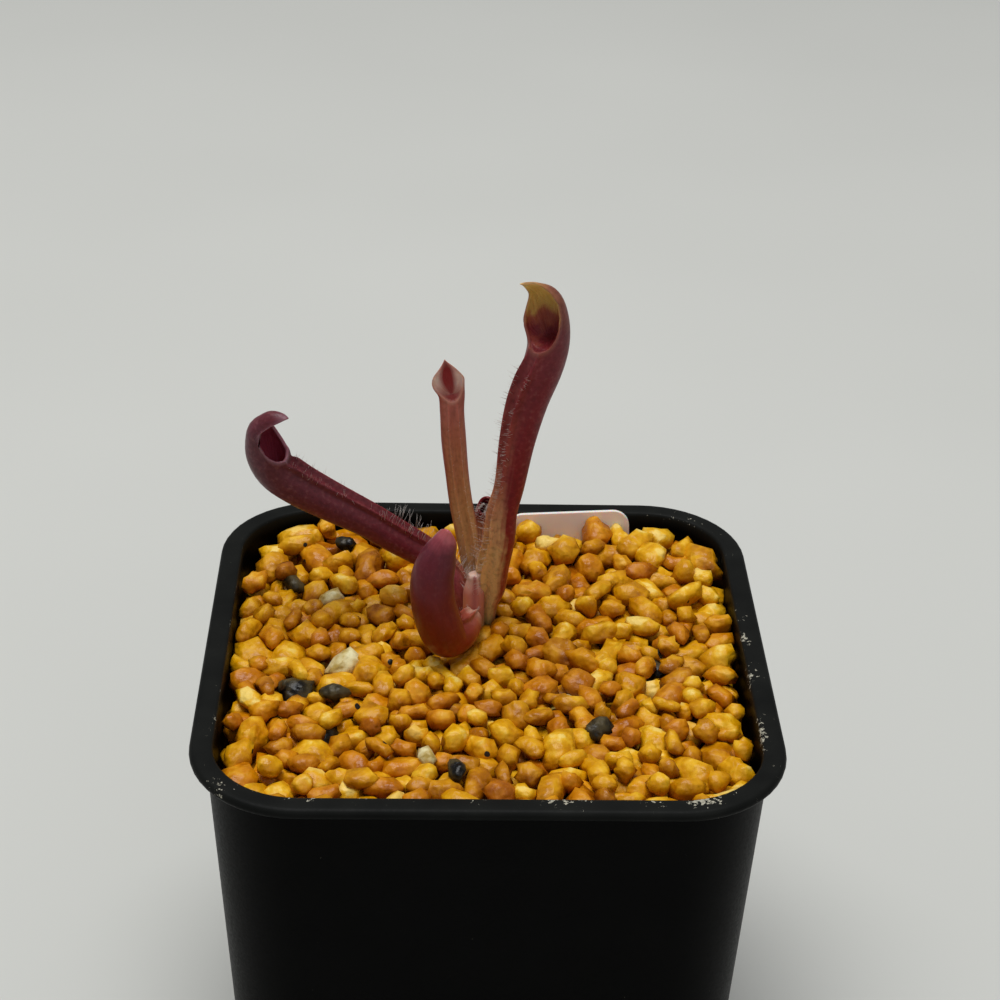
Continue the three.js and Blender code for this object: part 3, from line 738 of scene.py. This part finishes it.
MIDDLE_FLAP = [(0.7, "#b86a5c"), (0.76, "#d8a898"), (0.84, "#f0dcd0"), (1.0, "#f0dcd0")]
YOUNG_SKIN = [(0.0, "#e8c088"), (0.3, "#d8a478"), (0.5, "#b8704c"), (0.6, "#86241e"), (0.8, "#7c1218")]
YOUNG_THROAT = [(0.3, "#7a1c28"), (1.0, "#8a2430")]

# %% Leaf skins
LEAF_SKINS = {
    "right": leaf_skin("maroon_leaf", RIGHT_BACK, RIGHT_FRONT, RIGHT_THROAT_PAINTED_GLOW, ("#b88468", 0.22), (0.5, 0.76)),
    "front": leaf_skin(
        "glossy_plum_leaf", FRONT_BACK, FRONT_FRONT, FRONT_THROAT, ("#a8504a", 0.5), (0.7, 0.9),
        rough=0.42, coat=0.3, wrinkled=0.35,
    ),
    "left": leaf_skin("plum_leaf", LEFT_BACK, LEFT_FRONT, LEFT_THROAT, ("#98707a", 0.5), (0.86, 0.86)),
    "middle": leaf_skin(
        "tan_leaf", MIDDLE_BACK, MIDDLE_FRONT, MIDDLE_THROAT, ("#d8b098", 0.3), (0.6, 0.66),
        flap=MIDDLE_FLAP, wrinkled=0.7,
    ),
    "young": leaf_skin("crimson_leaf", YOUNG_SKIN, YOUNG_SKIN, YOUNG_THROAT, ("#8a3a40", 0.4)),
}

# %% Leaves
for which, leaf in LEAVES.items():
    bm = bmesh.new()
    wrap_grid(bm, len(LEAF_ANGLES), LEAF_ROWS, lambda i, j: leaf_point(leaf, i, j), LEAF_NOTES)
    make_piece(f"pitcher_{which}_skin", bm, LEAF_SKINS[which], [f"pitcher_{which}"])

# %% [markdown]
# ## Hairs
#
# White hairs about 1 to 2 mm long stand along the wings and round the young growth. Each is a three-sided
# cone, so hundreds of them stay light. It grows from the skin and leans a little towards the leaf's tip.

# %% Hair finish
# A plant hair is a row of empty clear cells: it shines white, and light passes through it.
white_hair, shader, coords = new_material("white_plant_hair")
hair_colour = ramp(noise_of(coords, 6 * MM), [(0.35, "#c9b8ae"), (0.65, "#e9e2da")])
connect(shader, {"Base Color": hair_colour, "Roughness": 0.35})


# %% Hairs
HAIR_RADIUS = 0.024
HAIR_SUNK = 0.1
HAIR_SPREAD = 0.16
HAIR_LEAN = 0.35


def add_hair(bm, root, direction, length):
    """One three-sided hair, its root sunk slightly into the skin. Sizes are in millimetres."""
    middle = Matrix.Translation((root + direction * (length / 2 - HAIR_SUNK)) * MM)
    place = middle @ direction.to_track_quat("Z", "Y").to_matrix().to_4x4()
    sizes = dict(radius1=HAIR_RADIUS * MM, radius2=HAIR_RADIUS * 0.25 * MM, depth=length * MM)
    bmesh.ops.create_cone(bm, cap_ends=True, segments=3, matrix=place, **sizes)


def wing_hairs(bm, draw, leaf, count, start, stop, length):
    """Hairs at random places along the two wings between two shares of the leaf. length is a range."""
    for _ in range(count):
        u = draw.uniform(start, stop)
        full_angle = draw.choice((WING_ANGLE, 360 - WING_ANGLE)) + draw.gauss(0, 3)
        root = skin_point(leaf, u, full_angle)
        _, back, side, _, _ = leaf_section(leaf, u)
        tip_way = (skin_point(leaf, u + 0.01, full_angle) - root).normalized()
        turned = radians(full_angle)
        out = back * cos(turned) + side * sin(turned)
        lean = Vector([draw.gauss(0, HAIR_SPREAD) for _ in range(3)])
        direction = (out + HAIR_LEAN * tip_way + lean).normalized()
        add_hair(bm, root, direction, draw.uniform(*length))


HAIRS = {  # rows of how many, between which shares of the leaf, how long
    "right": [(60, 0.2, 0.34, (0.9, 1.9)), (190, 0.34, 0.62, (0.6, 1.4))],
    "front": [(16, 0.1, 0.3, (0.4, 0.9))],
    "left": [(120, 0.12, 0.34, (1.0, 2.4)), (60, 0.34, 0.57, (0.5, 1.4))],
    "middle": [(30, 0.2, 0.45, (0.6, 1.2)), (12, 0.45, 0.62, (0.3, 0.6))],
    "young": [(150, 0.35, 0.9, (0.7, 1.5))],
}
for seed, (which, rows) in enumerate(HAIRS.items()):
    draw = random.Random(40 + seed)
    bm = bmesh.new()
    for row in rows:
        wing_hairs(bm, draw, LEAVES[which], *row)
    make_piece(f"pitcher_{which}_hairs", bm, white_hair)

# %% [markdown]
# ## Crown and roots
#
# All leaves grow from one short stem. On top of it the next leaf is still a folded pink bud with a tuft of
# hairs. Below, the stem and its roots are hidden in the granules, and they're built as plain tapered tubes.

# %% Crown sizes in millimetres
CROWN_AT = Vector((-1.5, 9.4, 0))
CROWN_TOP, CROWN_BOTTOM = 72.7, 54
CROWN_RADIUS, CROWN_TIP, SHOULDER = 1.5, 0.9, 3.4
ROOT_RADIUS = 0.7
ROOTS = [(20, 15, 34), (100, 11, 26), (170, 17, 38), (245, 13, 42), (310, 18, 30)]  # bearing, reach, depth
CROWN_COLUMNS, CROWN_ROWS, ROOT_COLUMNS, ROOT_ROWS = 48, 40, 8, 18
STEM_TOP, BUD_FOOT = 64, 67  # the stem turns into the folded bud between these heights
GREEN_FROM = 62  # the colour leaves the stem's brown here
CROWN_NOTES = ("along", "round")


def crown_point(i, j):
    """The stem and bud: a round stem, then a bud with a deep groove to the front and a blunt tip."""
    share = (j - 1) / (CROWN_ROWS - 2)
    z = CROWN_BOTTOM + (CROWN_TOP - CROWN_BOTTOM) * min(max(share, 0), 1)
    taper = smoothstep(CROWN_TOP - SHOULDER, CROWN_TOP, z)
    radius = CROWN_RADIUS + (CROWN_TIP - CROWN_RADIUS) * taper**1.3
    if j in (0, CROWN_ROWS):
        radius = 0
    angle = 2 * pi * i / CROWN_COLUMNS
    budding = smoothstep(STEM_TOP, BUD_FOOT, z)
    front = exp(-(((angle - 1.5 * pi) / 0.32) ** 2))
    fold = 1 - budding * (0.16 * front + 0.05 * cos(3 * angle))
    x, y = radius * fold * cos(angle), radius * fold * sin(angle)
    return CROWN_AT + Vector((x, y, z)), min(max((z - GREEN_FROM) / (CROWN_TOP - GREEN_FROM), 0), 1), front


def root_point(bearing, reach, depth, i, j):
    """A root: out and down from the stem, thinner towards its end."""
    way = Vector((cos(radians(bearing)), sin(radians(bearing)), 0))
    start = CROWN_AT + Vector((0, 0, CROWN_BOTTOM + 2 * CROWN_RADIUS))
    steps = [(0, 0), (0.25, 0.14), (0.6, 0.42), (0.85, 0.7), (1, 1)]
    stations = [(*(start + way * out * reach - Vector((0, 0, down * depth))), 1, 1) for out, down in steps]
    share = min(max((j - 1) / (ROOT_ROWS - 2), 0), 1)
    root = dict(rows=with_ends(stations), sides=[(-way.y, way.x, 0)] * 2)
    spine, back, side, _, _ = leaf_section(root, share)
    radius = 0 if j in (0, ROOT_ROWS) else ROOT_RADIUS * (1 - 0.6 * share)
    angle = 2 * pi * i / ROOT_COLUMNS
    return spine + (back * cos(angle) + side * sin(angle)) * radius, 0, 0


# %% Bud and stem finish
# Young leaf tissue: pink over pale green, thin and moist, darker in its fold. Underground it's brown.
bud_pink, shader, coords = new_material("pink_bud")
BUD_STOPS = [(0.0, "#5a4a34"), (0.2, "#b09a60"), (0.42, "#bc7456"), (0.75, "#c67c6c"), (1.0, "#e0bcaa")]
bud_colour = ramp(note_of(coords, "along"), BUD_STOPS)
connect(shader, {
    "Base Color": mix(note_of(coords, "round"), bud_colour, linear("#a85c54")),
    "Normal": bump(noise_of(coords, 0.8 * MM, 3.0), 0.3, 0.15 * MM),
    "Roughness": 0.38,
    "Subsurface Weight": 0.2,
    "Subsurface Radius": (1.0, 0.35, 0.2),
    "Subsurface Scale": 0.8 * MM,
    "Coat Weight": 0.2,
})

# %% Crown and roots
bm = bmesh.new()
wrap_grid(bm, CROWN_COLUMNS, CROWN_ROWS, crown_point, CROWN_NOTES)
for root in ROOTS:
    wrap_grid(bm, ROOT_COLUMNS, ROOT_ROWS, lambda i, j: root_point(*root, i, j), CROWN_NOTES)
make_piece("crown_bud", bm, bud_pink, replaces=["crown"])

# %% Tuft of hairs on the bud
TUFT_HAIRS, TUFT_DEPTH = 90, 2.6

draw = random.Random(60)
bm = bmesh.new()
for _ in range(TUFT_HAIRS):
    z = CROWN_TOP - TUFT_DEPTH * draw.random() ** 2
    angle = draw.uniform(0, 2 * pi)
    radius = CROWN_TIP + (CROWN_RADIUS - CROWN_TIP) * (CROWN_TOP - z) / SHOULDER
    out = Vector((cos(angle), sin(angle), 0))
    way = (out * 0.5 + Vector((draw.gauss(0, 0.3), draw.gauss(0, 0.3), 1))).normalized()
    add_hair(bm, CROWN_AT + out * radius + Vector((0, 0, z)), way, draw.uniform(0.6, 1.3))
make_piece("bud_hairs", bm, white_hair)

# %% [markdown]
# ## Granules
#
# The pot is filled with pumice coloured by iron, in rounded lumps of 2.5 to 5 mm. Only the top layers are
# seen, so those are loose lumps, and one solid core fills the pot below them. The lumps are dropped one by
# one: each falls where there is most room, rolls down as far as it can, and stays clear of the leaves.

# %% Granule sizes in millimetres
CORE_TOP = 59.5
BED_TOP = 67.1
BED_RISE = 2.8
SMALLEST, LARGEST = 1.4, 2.75
PACKING = 0.86
DROPS = 1600
SPOTS = 14
ROLL_WAYS = 8
FINEST_ROLL = 0.12
CLOSENESS = 0.8  # how far a lump stays from a leaf or the label, as a share of its radius
LEAF_REACH = 6  # leaves matter up to this far above the bed
WALL_GAP = 0.1
inner_half, inner_corner = (size - WALL for size in wall_size(64))


def plant_obstacles():
    """Points and radii of what the lumps lie round: the leaves near the bed, and the bud."""
    points = []
    for leaf in LEAVES.values():
        for step in range(121):
            here = through_stations(leaf["rows"], step / 120)
            if here[2] < BED_TOP + LEAF_REACH:
                points.append((*here[:3], max(here[3], here[4])))
    for z in range(int(CROWN_BOTTOM), int(CROWN_TOP)):
        points.append((*(CROWN_AT + Vector((0, 0, z))), CROWN_RADIUS))
    return np.array(points)


def clear_of_wall(x, y, radius):
    """Whether a lump at a place stays inside the pot's wall."""
    reach = inner_half - radius - WALL_GAP
    corner = inner_corner - radius - WALL_GAP
    if abs(x) > reach or abs(y) > reach:
        return False
    dx, dy = abs(x) - (reach - corner), abs(y) - (reach - corner)
    return dx < 0 or dy < 0 or hypot(dx, dy) < corner


# %% [markdown]
# The label is a flat obstacle as well, so its size and place come first. It is a sheet of white plastic,
# 0.6 mm thick, round at its top corners and pointed below. It leans on the pot's back wall.

# %% Label sizes in millimetres
LABEL_WIDTH, LABEL_LENGTH, LABEL_THICKNESS = 18, 60, 0.6
LABEL_CORNER, LABEL_POINT = 2.4, 9
LABEL_TIP, LABEL_BEVEL, CORNER_POINTS = 1.2, 0.1, 9
LABEL_TOP = Vector((12.5, 33.6, 68.8))
LABEL_LEAN, LABEL_ROLL = 5.5, 3
lean_back = Matrix.Rotation(radians(90 - LABEL_LEAN), 4, "X")
roll = Matrix.Rotation(radians(LABEL_ROLL), 4, "Z")
label_place = Matrix.Translation(LABEL_TOP) @ lean_back @ roll


def clear_of_label(point, radius):
    """Whether a lump stays clear of the label's sheet."""
    local = label_place.inverted() @ Vector(point)
    beside = abs(local.x) > LABEL_WIDTH / 2 + radius
    return beside or abs(local.z - LABEL_THICKNESS / 2) > LABEL_THICKNESS / 2 + CLOSENESS * radius


# %% Dropping the lumps
def resting_height(spots, radius, placed):
    """The height at which a lump dropped at each spot comes to rest on the core or on earlier lumps."""
    heights = np.full(len(spots), CORE_TOP + radius * 0.6)
    if len(placed):
        gap2 = ((spots[:, None, :] - placed[None, :, :2]) ** 2).sum(-1)
        touch = (placed[:, 3] + radius) * PACKING
        over = placed[:, 2] + np.sqrt(np.maximum(touch**2 - gap2, 0))
        over[gap2 > touch**2] = 0
        heights = np.maximum(heights, over.max(axis=1))
    return heights


def lowest_free(spots, radius, placed, obstacles):
    """The lowest resting point of a lump among spots that are clear of the wall, the plant and the label."""
    spots = np.array([spot for spot in spots if clear_of_wall(*spot, radius)])
    if not len(spots):
        return None
    points = np.column_stack((spots, resting_height(spots, radius, placed)))
    gaps = points[:, None, :] - obstacles[None, :, :3]
    away = (np.sqrt((gaps**2).sum(-1)) - obstacles[:, 3]).min(axis=1)
    clear = points[away > CLOSENESS * radius]
    free = [point for point in clear if clear_of_label(point, radius)]
    return min(free, key=lambda point: point[2]) if free else None


def drop_lumps(draw):
    """Every lump as (x, y, z, radius)."""
    obstacles = plant_obstacles()
    placed = np.zeros((0, 4))
    bearings = np.linspace(0, 2 * pi, ROLL_WAYS, endpoint=False)
    ways = np.array([(cos(a), sin(a)) for a in bearings])
    for _ in range(DROPS):
        radius = SMALLEST + (LARGEST - SMALLEST) * draw.random() ** 1.4
        reach = inner_half - radius
        spots = np.array([(draw.uniform(-reach, reach), draw.uniform(-reach, reach)) for _ in range(SPOTS)])
        point = lowest_free(spots, radius, placed, obstacles)
        step = radius
        while point is not None and step > FINEST_ROLL:
            lower = lowest_free(point[:2] + ways * step, radius, placed, obstacles)
            if lower is not None and lower[2] < point[2] - 1e-3:
                point = lower
            else:
                step /= 2
        if point is None:
            continue
        if point[2] + radius < BED_TOP + BED_RISE * smoothstep(0, inner_half, point[1]):
            placed = np.vstack((placed, (*point, radius)))
    return placed


lumps = drop_lumps(random.Random(7))
print(f"{len(lumps)} lumps, highest {(lumps[:, 2] + lumps[:, 3]).max():.1f} mm")


# %% Lump shapes
FLATS = 9
EDGE = 7  # how sharply two flats meet
PAINTED_TOP_LIGHT = 0.32  # how much paler a lump's top is painted, as painted light from above
LUMP_NOTES = ("tone", "kind", "warm")


def inside_wall(point):
    """The point itself, or the nearest one inside the pot's wall if a long lump's end would pierce it."""
    half, corner = (size - WALL - 0.05 for size in wall_size(point.z))
    reach = half - corner
    near = Vector((min(max(point.x, -reach), reach), min(max(point.y, -reach), reach), point.z))
    away = point - near
    return near + away * (corner / away.length) if away.length > corner else point


def make_lump(lump, draw):
    """One worn granule, as a bmesh. Some are long or pinched like a peanut, orange, dark or pale."""
    offset = Vector([draw.uniform(0, 90) for _ in range(3)])
    long = draw.random() ** 1.5 * 0.6
    pinch = draw.choice((0, 0.15, 0.3)) if long > 0.15 else 0
    stretch = Vector((1 + long, draw.uniform(0.86, 1.04), draw.uniform(0.76, 0.96)))
    turn = Matrix.Rotation(draw.uniform(0, 6.28), 3, "Z") @ Matrix.Rotation(draw.gauss(0, 0.6), 3, "X")
    flats = [Vector([draw.gauss(0, 1) for _ in range(3)]).normalized() for _ in range(FLATS)]
    depths = [draw.uniform(0.72, 1.0) for _ in flats]
    tone, chance = 0.47 + draw.gauss(0, 0.13), draw.random()
    kind = 1 if chance > 0.978 else 0.5 if chance > 0.97 else 0
    warm = 0.8 * smoothstep(0.55, 0.85, draw.random())
    bm = bmesh.new()
    layers = [bm.verts.layers.float.new(n) for n in LUMP_NOTES]
    for vert in bmesh.ops.create_icosphere(bm, subdivisions=2, radius=1)["verts"]:
        way = vert.co.normalized()
        # The distance to rounded flat faces, as on a broken stone that was tumbled.
        worn = sum((max(way.dot(flat), 0) / depth) ** EDGE for flat, depth in zip(flats, depths))
        worn = (1 + worn) ** (-1 / EDGE)
        swell = 1.1 * worn + 0.4 * noise.noise(way * 1.5 + offset) + 0.16 * noise.noise(way * 3 + offset)
        waist = 1 - pinch * exp(-((way.x / 0.35) ** 2))
        point = Vector((way.x * stretch.x, way.y * stretch.y * waist, way.z * stretch.z * waist)) * swell
        turned = turn @ point
        vert.co = inside_wall(Vector(lump[:3]) + turned * lump[3]) * MM
        # The tone note also carries painted light: each lump is painted paler on its top and darker
        # underneath.
        for layer, value in zip(layers, (tone + PAINTED_TOP_LIGHT * turned.z, kind, warm)):
            vert[layer] = value
    return bm


# %% Pumice finish
# Iron-stained pumice: a soft, slightly moist stone. The eye sees matt ochre lumps with orange and pale
# mottling, fine pores, and here and there a small black mineral grain.
pumice, shader, coords = new_material("ochre_pumice")
OCHRE = [
    (0.0, "#6a3401"), (0.15, "#8a4c00"), (0.35, "#ac6a00"), (0.55, "#c68600"), (0.75, "#d89c04"),
    (0.9, "#e6b222"), (1.0, "#eecc68"),
]
ORANGE = [(0.0, "#662e01"), (0.2, "#8a4400"), (0.45, "#ae6000"), (0.7, "#c87a00"), (1.0, "#de9e18")]
# tone holds each lump's own tone and the painted light on its top.
tone, kind, warm = (note_of(coords, note) for note in LUMP_NOTES)
mottle = noise_of(coords, 2.2 * MM, 5.0)
tone = maths("ADD", tone, in_range(mottle, 0.3, 0.7, -0.24, 0.24))
stone = mix(warm, ramp(tone, OCHRE), ramp(tone, ORANGE))
pale_stone = ramp(mottle, [(0.4, "#b59b52"), (0.6, "#e2d8a8")])
dark_stone = ramp(mottle, [(0.42, "#0c0a07"), (0.62, "#4a4026")])
stone = mix(maths("GREATER_THAN", kind, 0.25), stone, pale_stone)
stone = mix(maths("GREATER_THAN", kind, 0.75), stone, dark_stone)
cells = add_node("ShaderNodeTexVoronoi", {"Vector": coords, "Scale": 1 / (4.2 * MM)}).outputs
cell_draw = add_node("ShaderNodeSeparateColor", {"Color": cells["Color"]}).outputs["Red"]
grain_size = in_range(cell_draw, 0.6, 1.0, 0.0, 0.11)
stone = mix(maths("LESS_THAN", cells["Distance"], grain_size), stone, linear("#1d1813"))
# Fine pores, and worn knobs about 1.5 mm apart, are too many to model on every granule.
pores = bump(noise_of(coords, 0.5 * MM, 6.0), 0.4, 0.2 * MM)
connect(shader, {
    "Base Color": stone,
    "Normal": bump(noise_of(coords, 1.5 * MM, 1.0), 0.8, 0.7 * MM, pores),
    "Roughness": in_range(mottle, 0.35, 0.65, 0.26, 0.5),
    "IOR": 1.4,
    "Specular IOR Level": 0.42,
})

# %% Granules
# Each lump is made in a small bmesh of its own and added to the rest through one spare mesh, because an
# operator takes longer the more a bmesh already holds.
bm = bmesh.new()
spare = bpy.data.meshes.new("one_lump")
draw = random.Random(11)
for lump in lumps:
    one = make_lump(lump, draw)
    one.to_mesh(spare)
    one.free()
    bm.from_mesh(spare)
bpy.data.meshes.remove(spare)
make_piece("granules", bm, pumice, replaces=["granule_bed"])

# %% Core below the loose lumps
CORE_GAP = 0.3
# The core is painted in the darkest tone, as painted shade in the gaps between the loose lumps.
CORE_PAINTED_SHADE = 0.05
CORE_BOTTOM = FOOT_HEIGHT + FLOOR + CORE_GAP
CORE_ROWS = [(0, CORE_BOTTOM), (1, CORE_BOTTOM), (1, 20), (1, 40)]  # share of the way to the wall, height
CORE_ROWS += [(1, CORE_TOP), (0.9, CORE_TOP), (0, CORE_TOP)]


def core_point(i, j):
    """The core fills the pot's inside up to the loose lumps, a little clear of the wall."""
    share, z = CORE_ROWS[j]
    half, corner = (size - WALL - CORE_GAP for size in wall_size(z))
    x, y = square_ring_point(half * share, corner * share, i / COLUMNS) if share else (0, 0)
    bumps = 0.5 * noise.noise(Vector((x, y, z)) / 2.5) if z == CORE_TOP else 0
    return Vector((x, y, z + bumps)), CORE_PAINTED_SHADE, 0, 0


bm = bmesh.new()
wrap_grid(bm, COLUMNS, len(CORE_ROWS) - 1, core_point, LUMP_NOTES)
make_piece("granule_core", bm, pumice)

# %% [markdown]
# ## Label
#
# The outline is a few points: two arcs at the top corners, and the sides that meet in a point. It becomes
# one face, which is extruded to the sheet's thickness, and its edges are bevelled as die-cut plastic's are.

# %% Label finish
# White polystyrene sheet, rolled and die-cut: smooth, slightly glossy, faintly pink and see-through.
label_white, shader, coords = new_material("white_polystyrene")
connect(shader, {
    "Base Color": ramp(noise_of(coords, 9 * MM, 4.0), [(0.35, "#e9dcd5"), (0.65, "#f1e7e1")]),
    "Roughness": in_range(noise_of(coords, 0.6 * MM, 3.0), 0.3, 0.7, 0.3, 0.42),
    "IOR": 1.55,
    "Subsurface Weight": 0.4,
    "Subsurface Scale": 1.2 * MM,
})

# %% Label
half = LABEL_WIDTH / 2
outline = []
for centre_x, start in ((half - LABEL_CORNER, 0), (LABEL_CORNER - half, 90)):
    for step in range(CORNER_POINTS):
        angle = radians(start + 90 * step / (CORNER_POINTS - 1))
        x = centre_x + LABEL_CORNER * cos(angle)
        outline.append((x, LABEL_CORNER * (sin(angle) - 1)))
outline += [(-half, LABEL_POINT - LABEL_LENGTH), (-LABEL_TIP / 2, -LABEL_LENGTH)]
outline += [(LABEL_TIP / 2, -LABEL_LENGTH), (half, LABEL_POINT - LABEL_LENGTH)]

bm = bmesh.new()
sheet = bm.faces.new([bm.verts.new((x, y, 0)) for x, y in outline])
raised = bmesh.ops.extrude_face_region(bm, geom=[sheet])
raised_verts = [part for part in raised["geom"] if isinstance(part, bmesh.types.BMVert)]
bmesh.ops.translate(bm, verts=raised_verts, vec=(0, 0, LABEL_THICKNESS))
sharp = [e for e in bm.edges if abs(e.verts[0].co.z - e.verts[1].co.z) < 1e-6]
bmesh.ops.bevel(bm, geom=sharp, offset=LABEL_BEVEL, segments=2, profile=0.5, affect="EDGES", material=-1)
bmesh.ops.transform(bm, matrix=Matrix.Scale(MM, 4) @ label_place, verts=bm.verts)
make_piece("label_sheet", bm, label_white, replaces=["plant_label"], smooth=False)

# %% [markdown]
# ## Floor and light
#
# The photograph has a plain pale grey ground and soft room light from above and slightly behind, so the
# lumps and the left leaf shade what is in front of them. One large area lamp gives that, a weaker one in
# front opens the shadows, and an even sky colour fills the rest.

# %% Floor
# A matt painted table top, lit so evenly that only a faint cloudiness is left of its colour.
floor_grey, shader, coords = new_material("matt_grey_table")
floor_colour = ramp(noise_of(coords, 150 * MM), [(0.3, "#c9cac4"), (0.7, "#cdcec8")])
connect(shader, {"Base Color": floor_colour, "Roughness": 0.9})

bm = bmesh.new()
bmesh.ops.create_grid(bm, x_segments=1, y_segments=1, size=3)
add_object("floor", bm, floor_grey)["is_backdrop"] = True


# %% Lights
LAMP_AIM = Vector((0, 0, 70)) * MM


def add_lamp(name, place, size, power, colour):
    """A square area lamp that points at the plant."""
    data = bpy.data.lights.new(name, "AREA")
    data.size, data.energy, data.color = size, power, linear(colour)[:3]
    lamp = bpy.data.objects.new(name, data)
    lamp.location = place
    lamp.rotation_euler = (LAMP_AIM - Vector(place)).to_track_quat("-Z", "Y").to_euler()
    scene.collection.objects.link(lamp)


add_lamp("ceiling_lamp", (-0.1, 0.12, 1.1), 0.75, 10.6, "#fefeff")
add_lamp("front_fill", (0.45, -0.9, 0.8), 0.9, 1.7, "#f6f7ff")
world = bpy.data.worlds.new("room")
world.use_nodes = True
sky = world.node_tree.nodes["Background"]
connect(sky, {"Color": linear("#f2f3f6"), "Strength": 0.25})
scene.world = world
scene.view_settings.view_transform = "Standard"

dressed_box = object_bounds()
for name, box in (("cad", cad_box), ("dressed", dressed_box)):
    print(name, [[round(value / MM, 2) for value in corner] for corner in box])
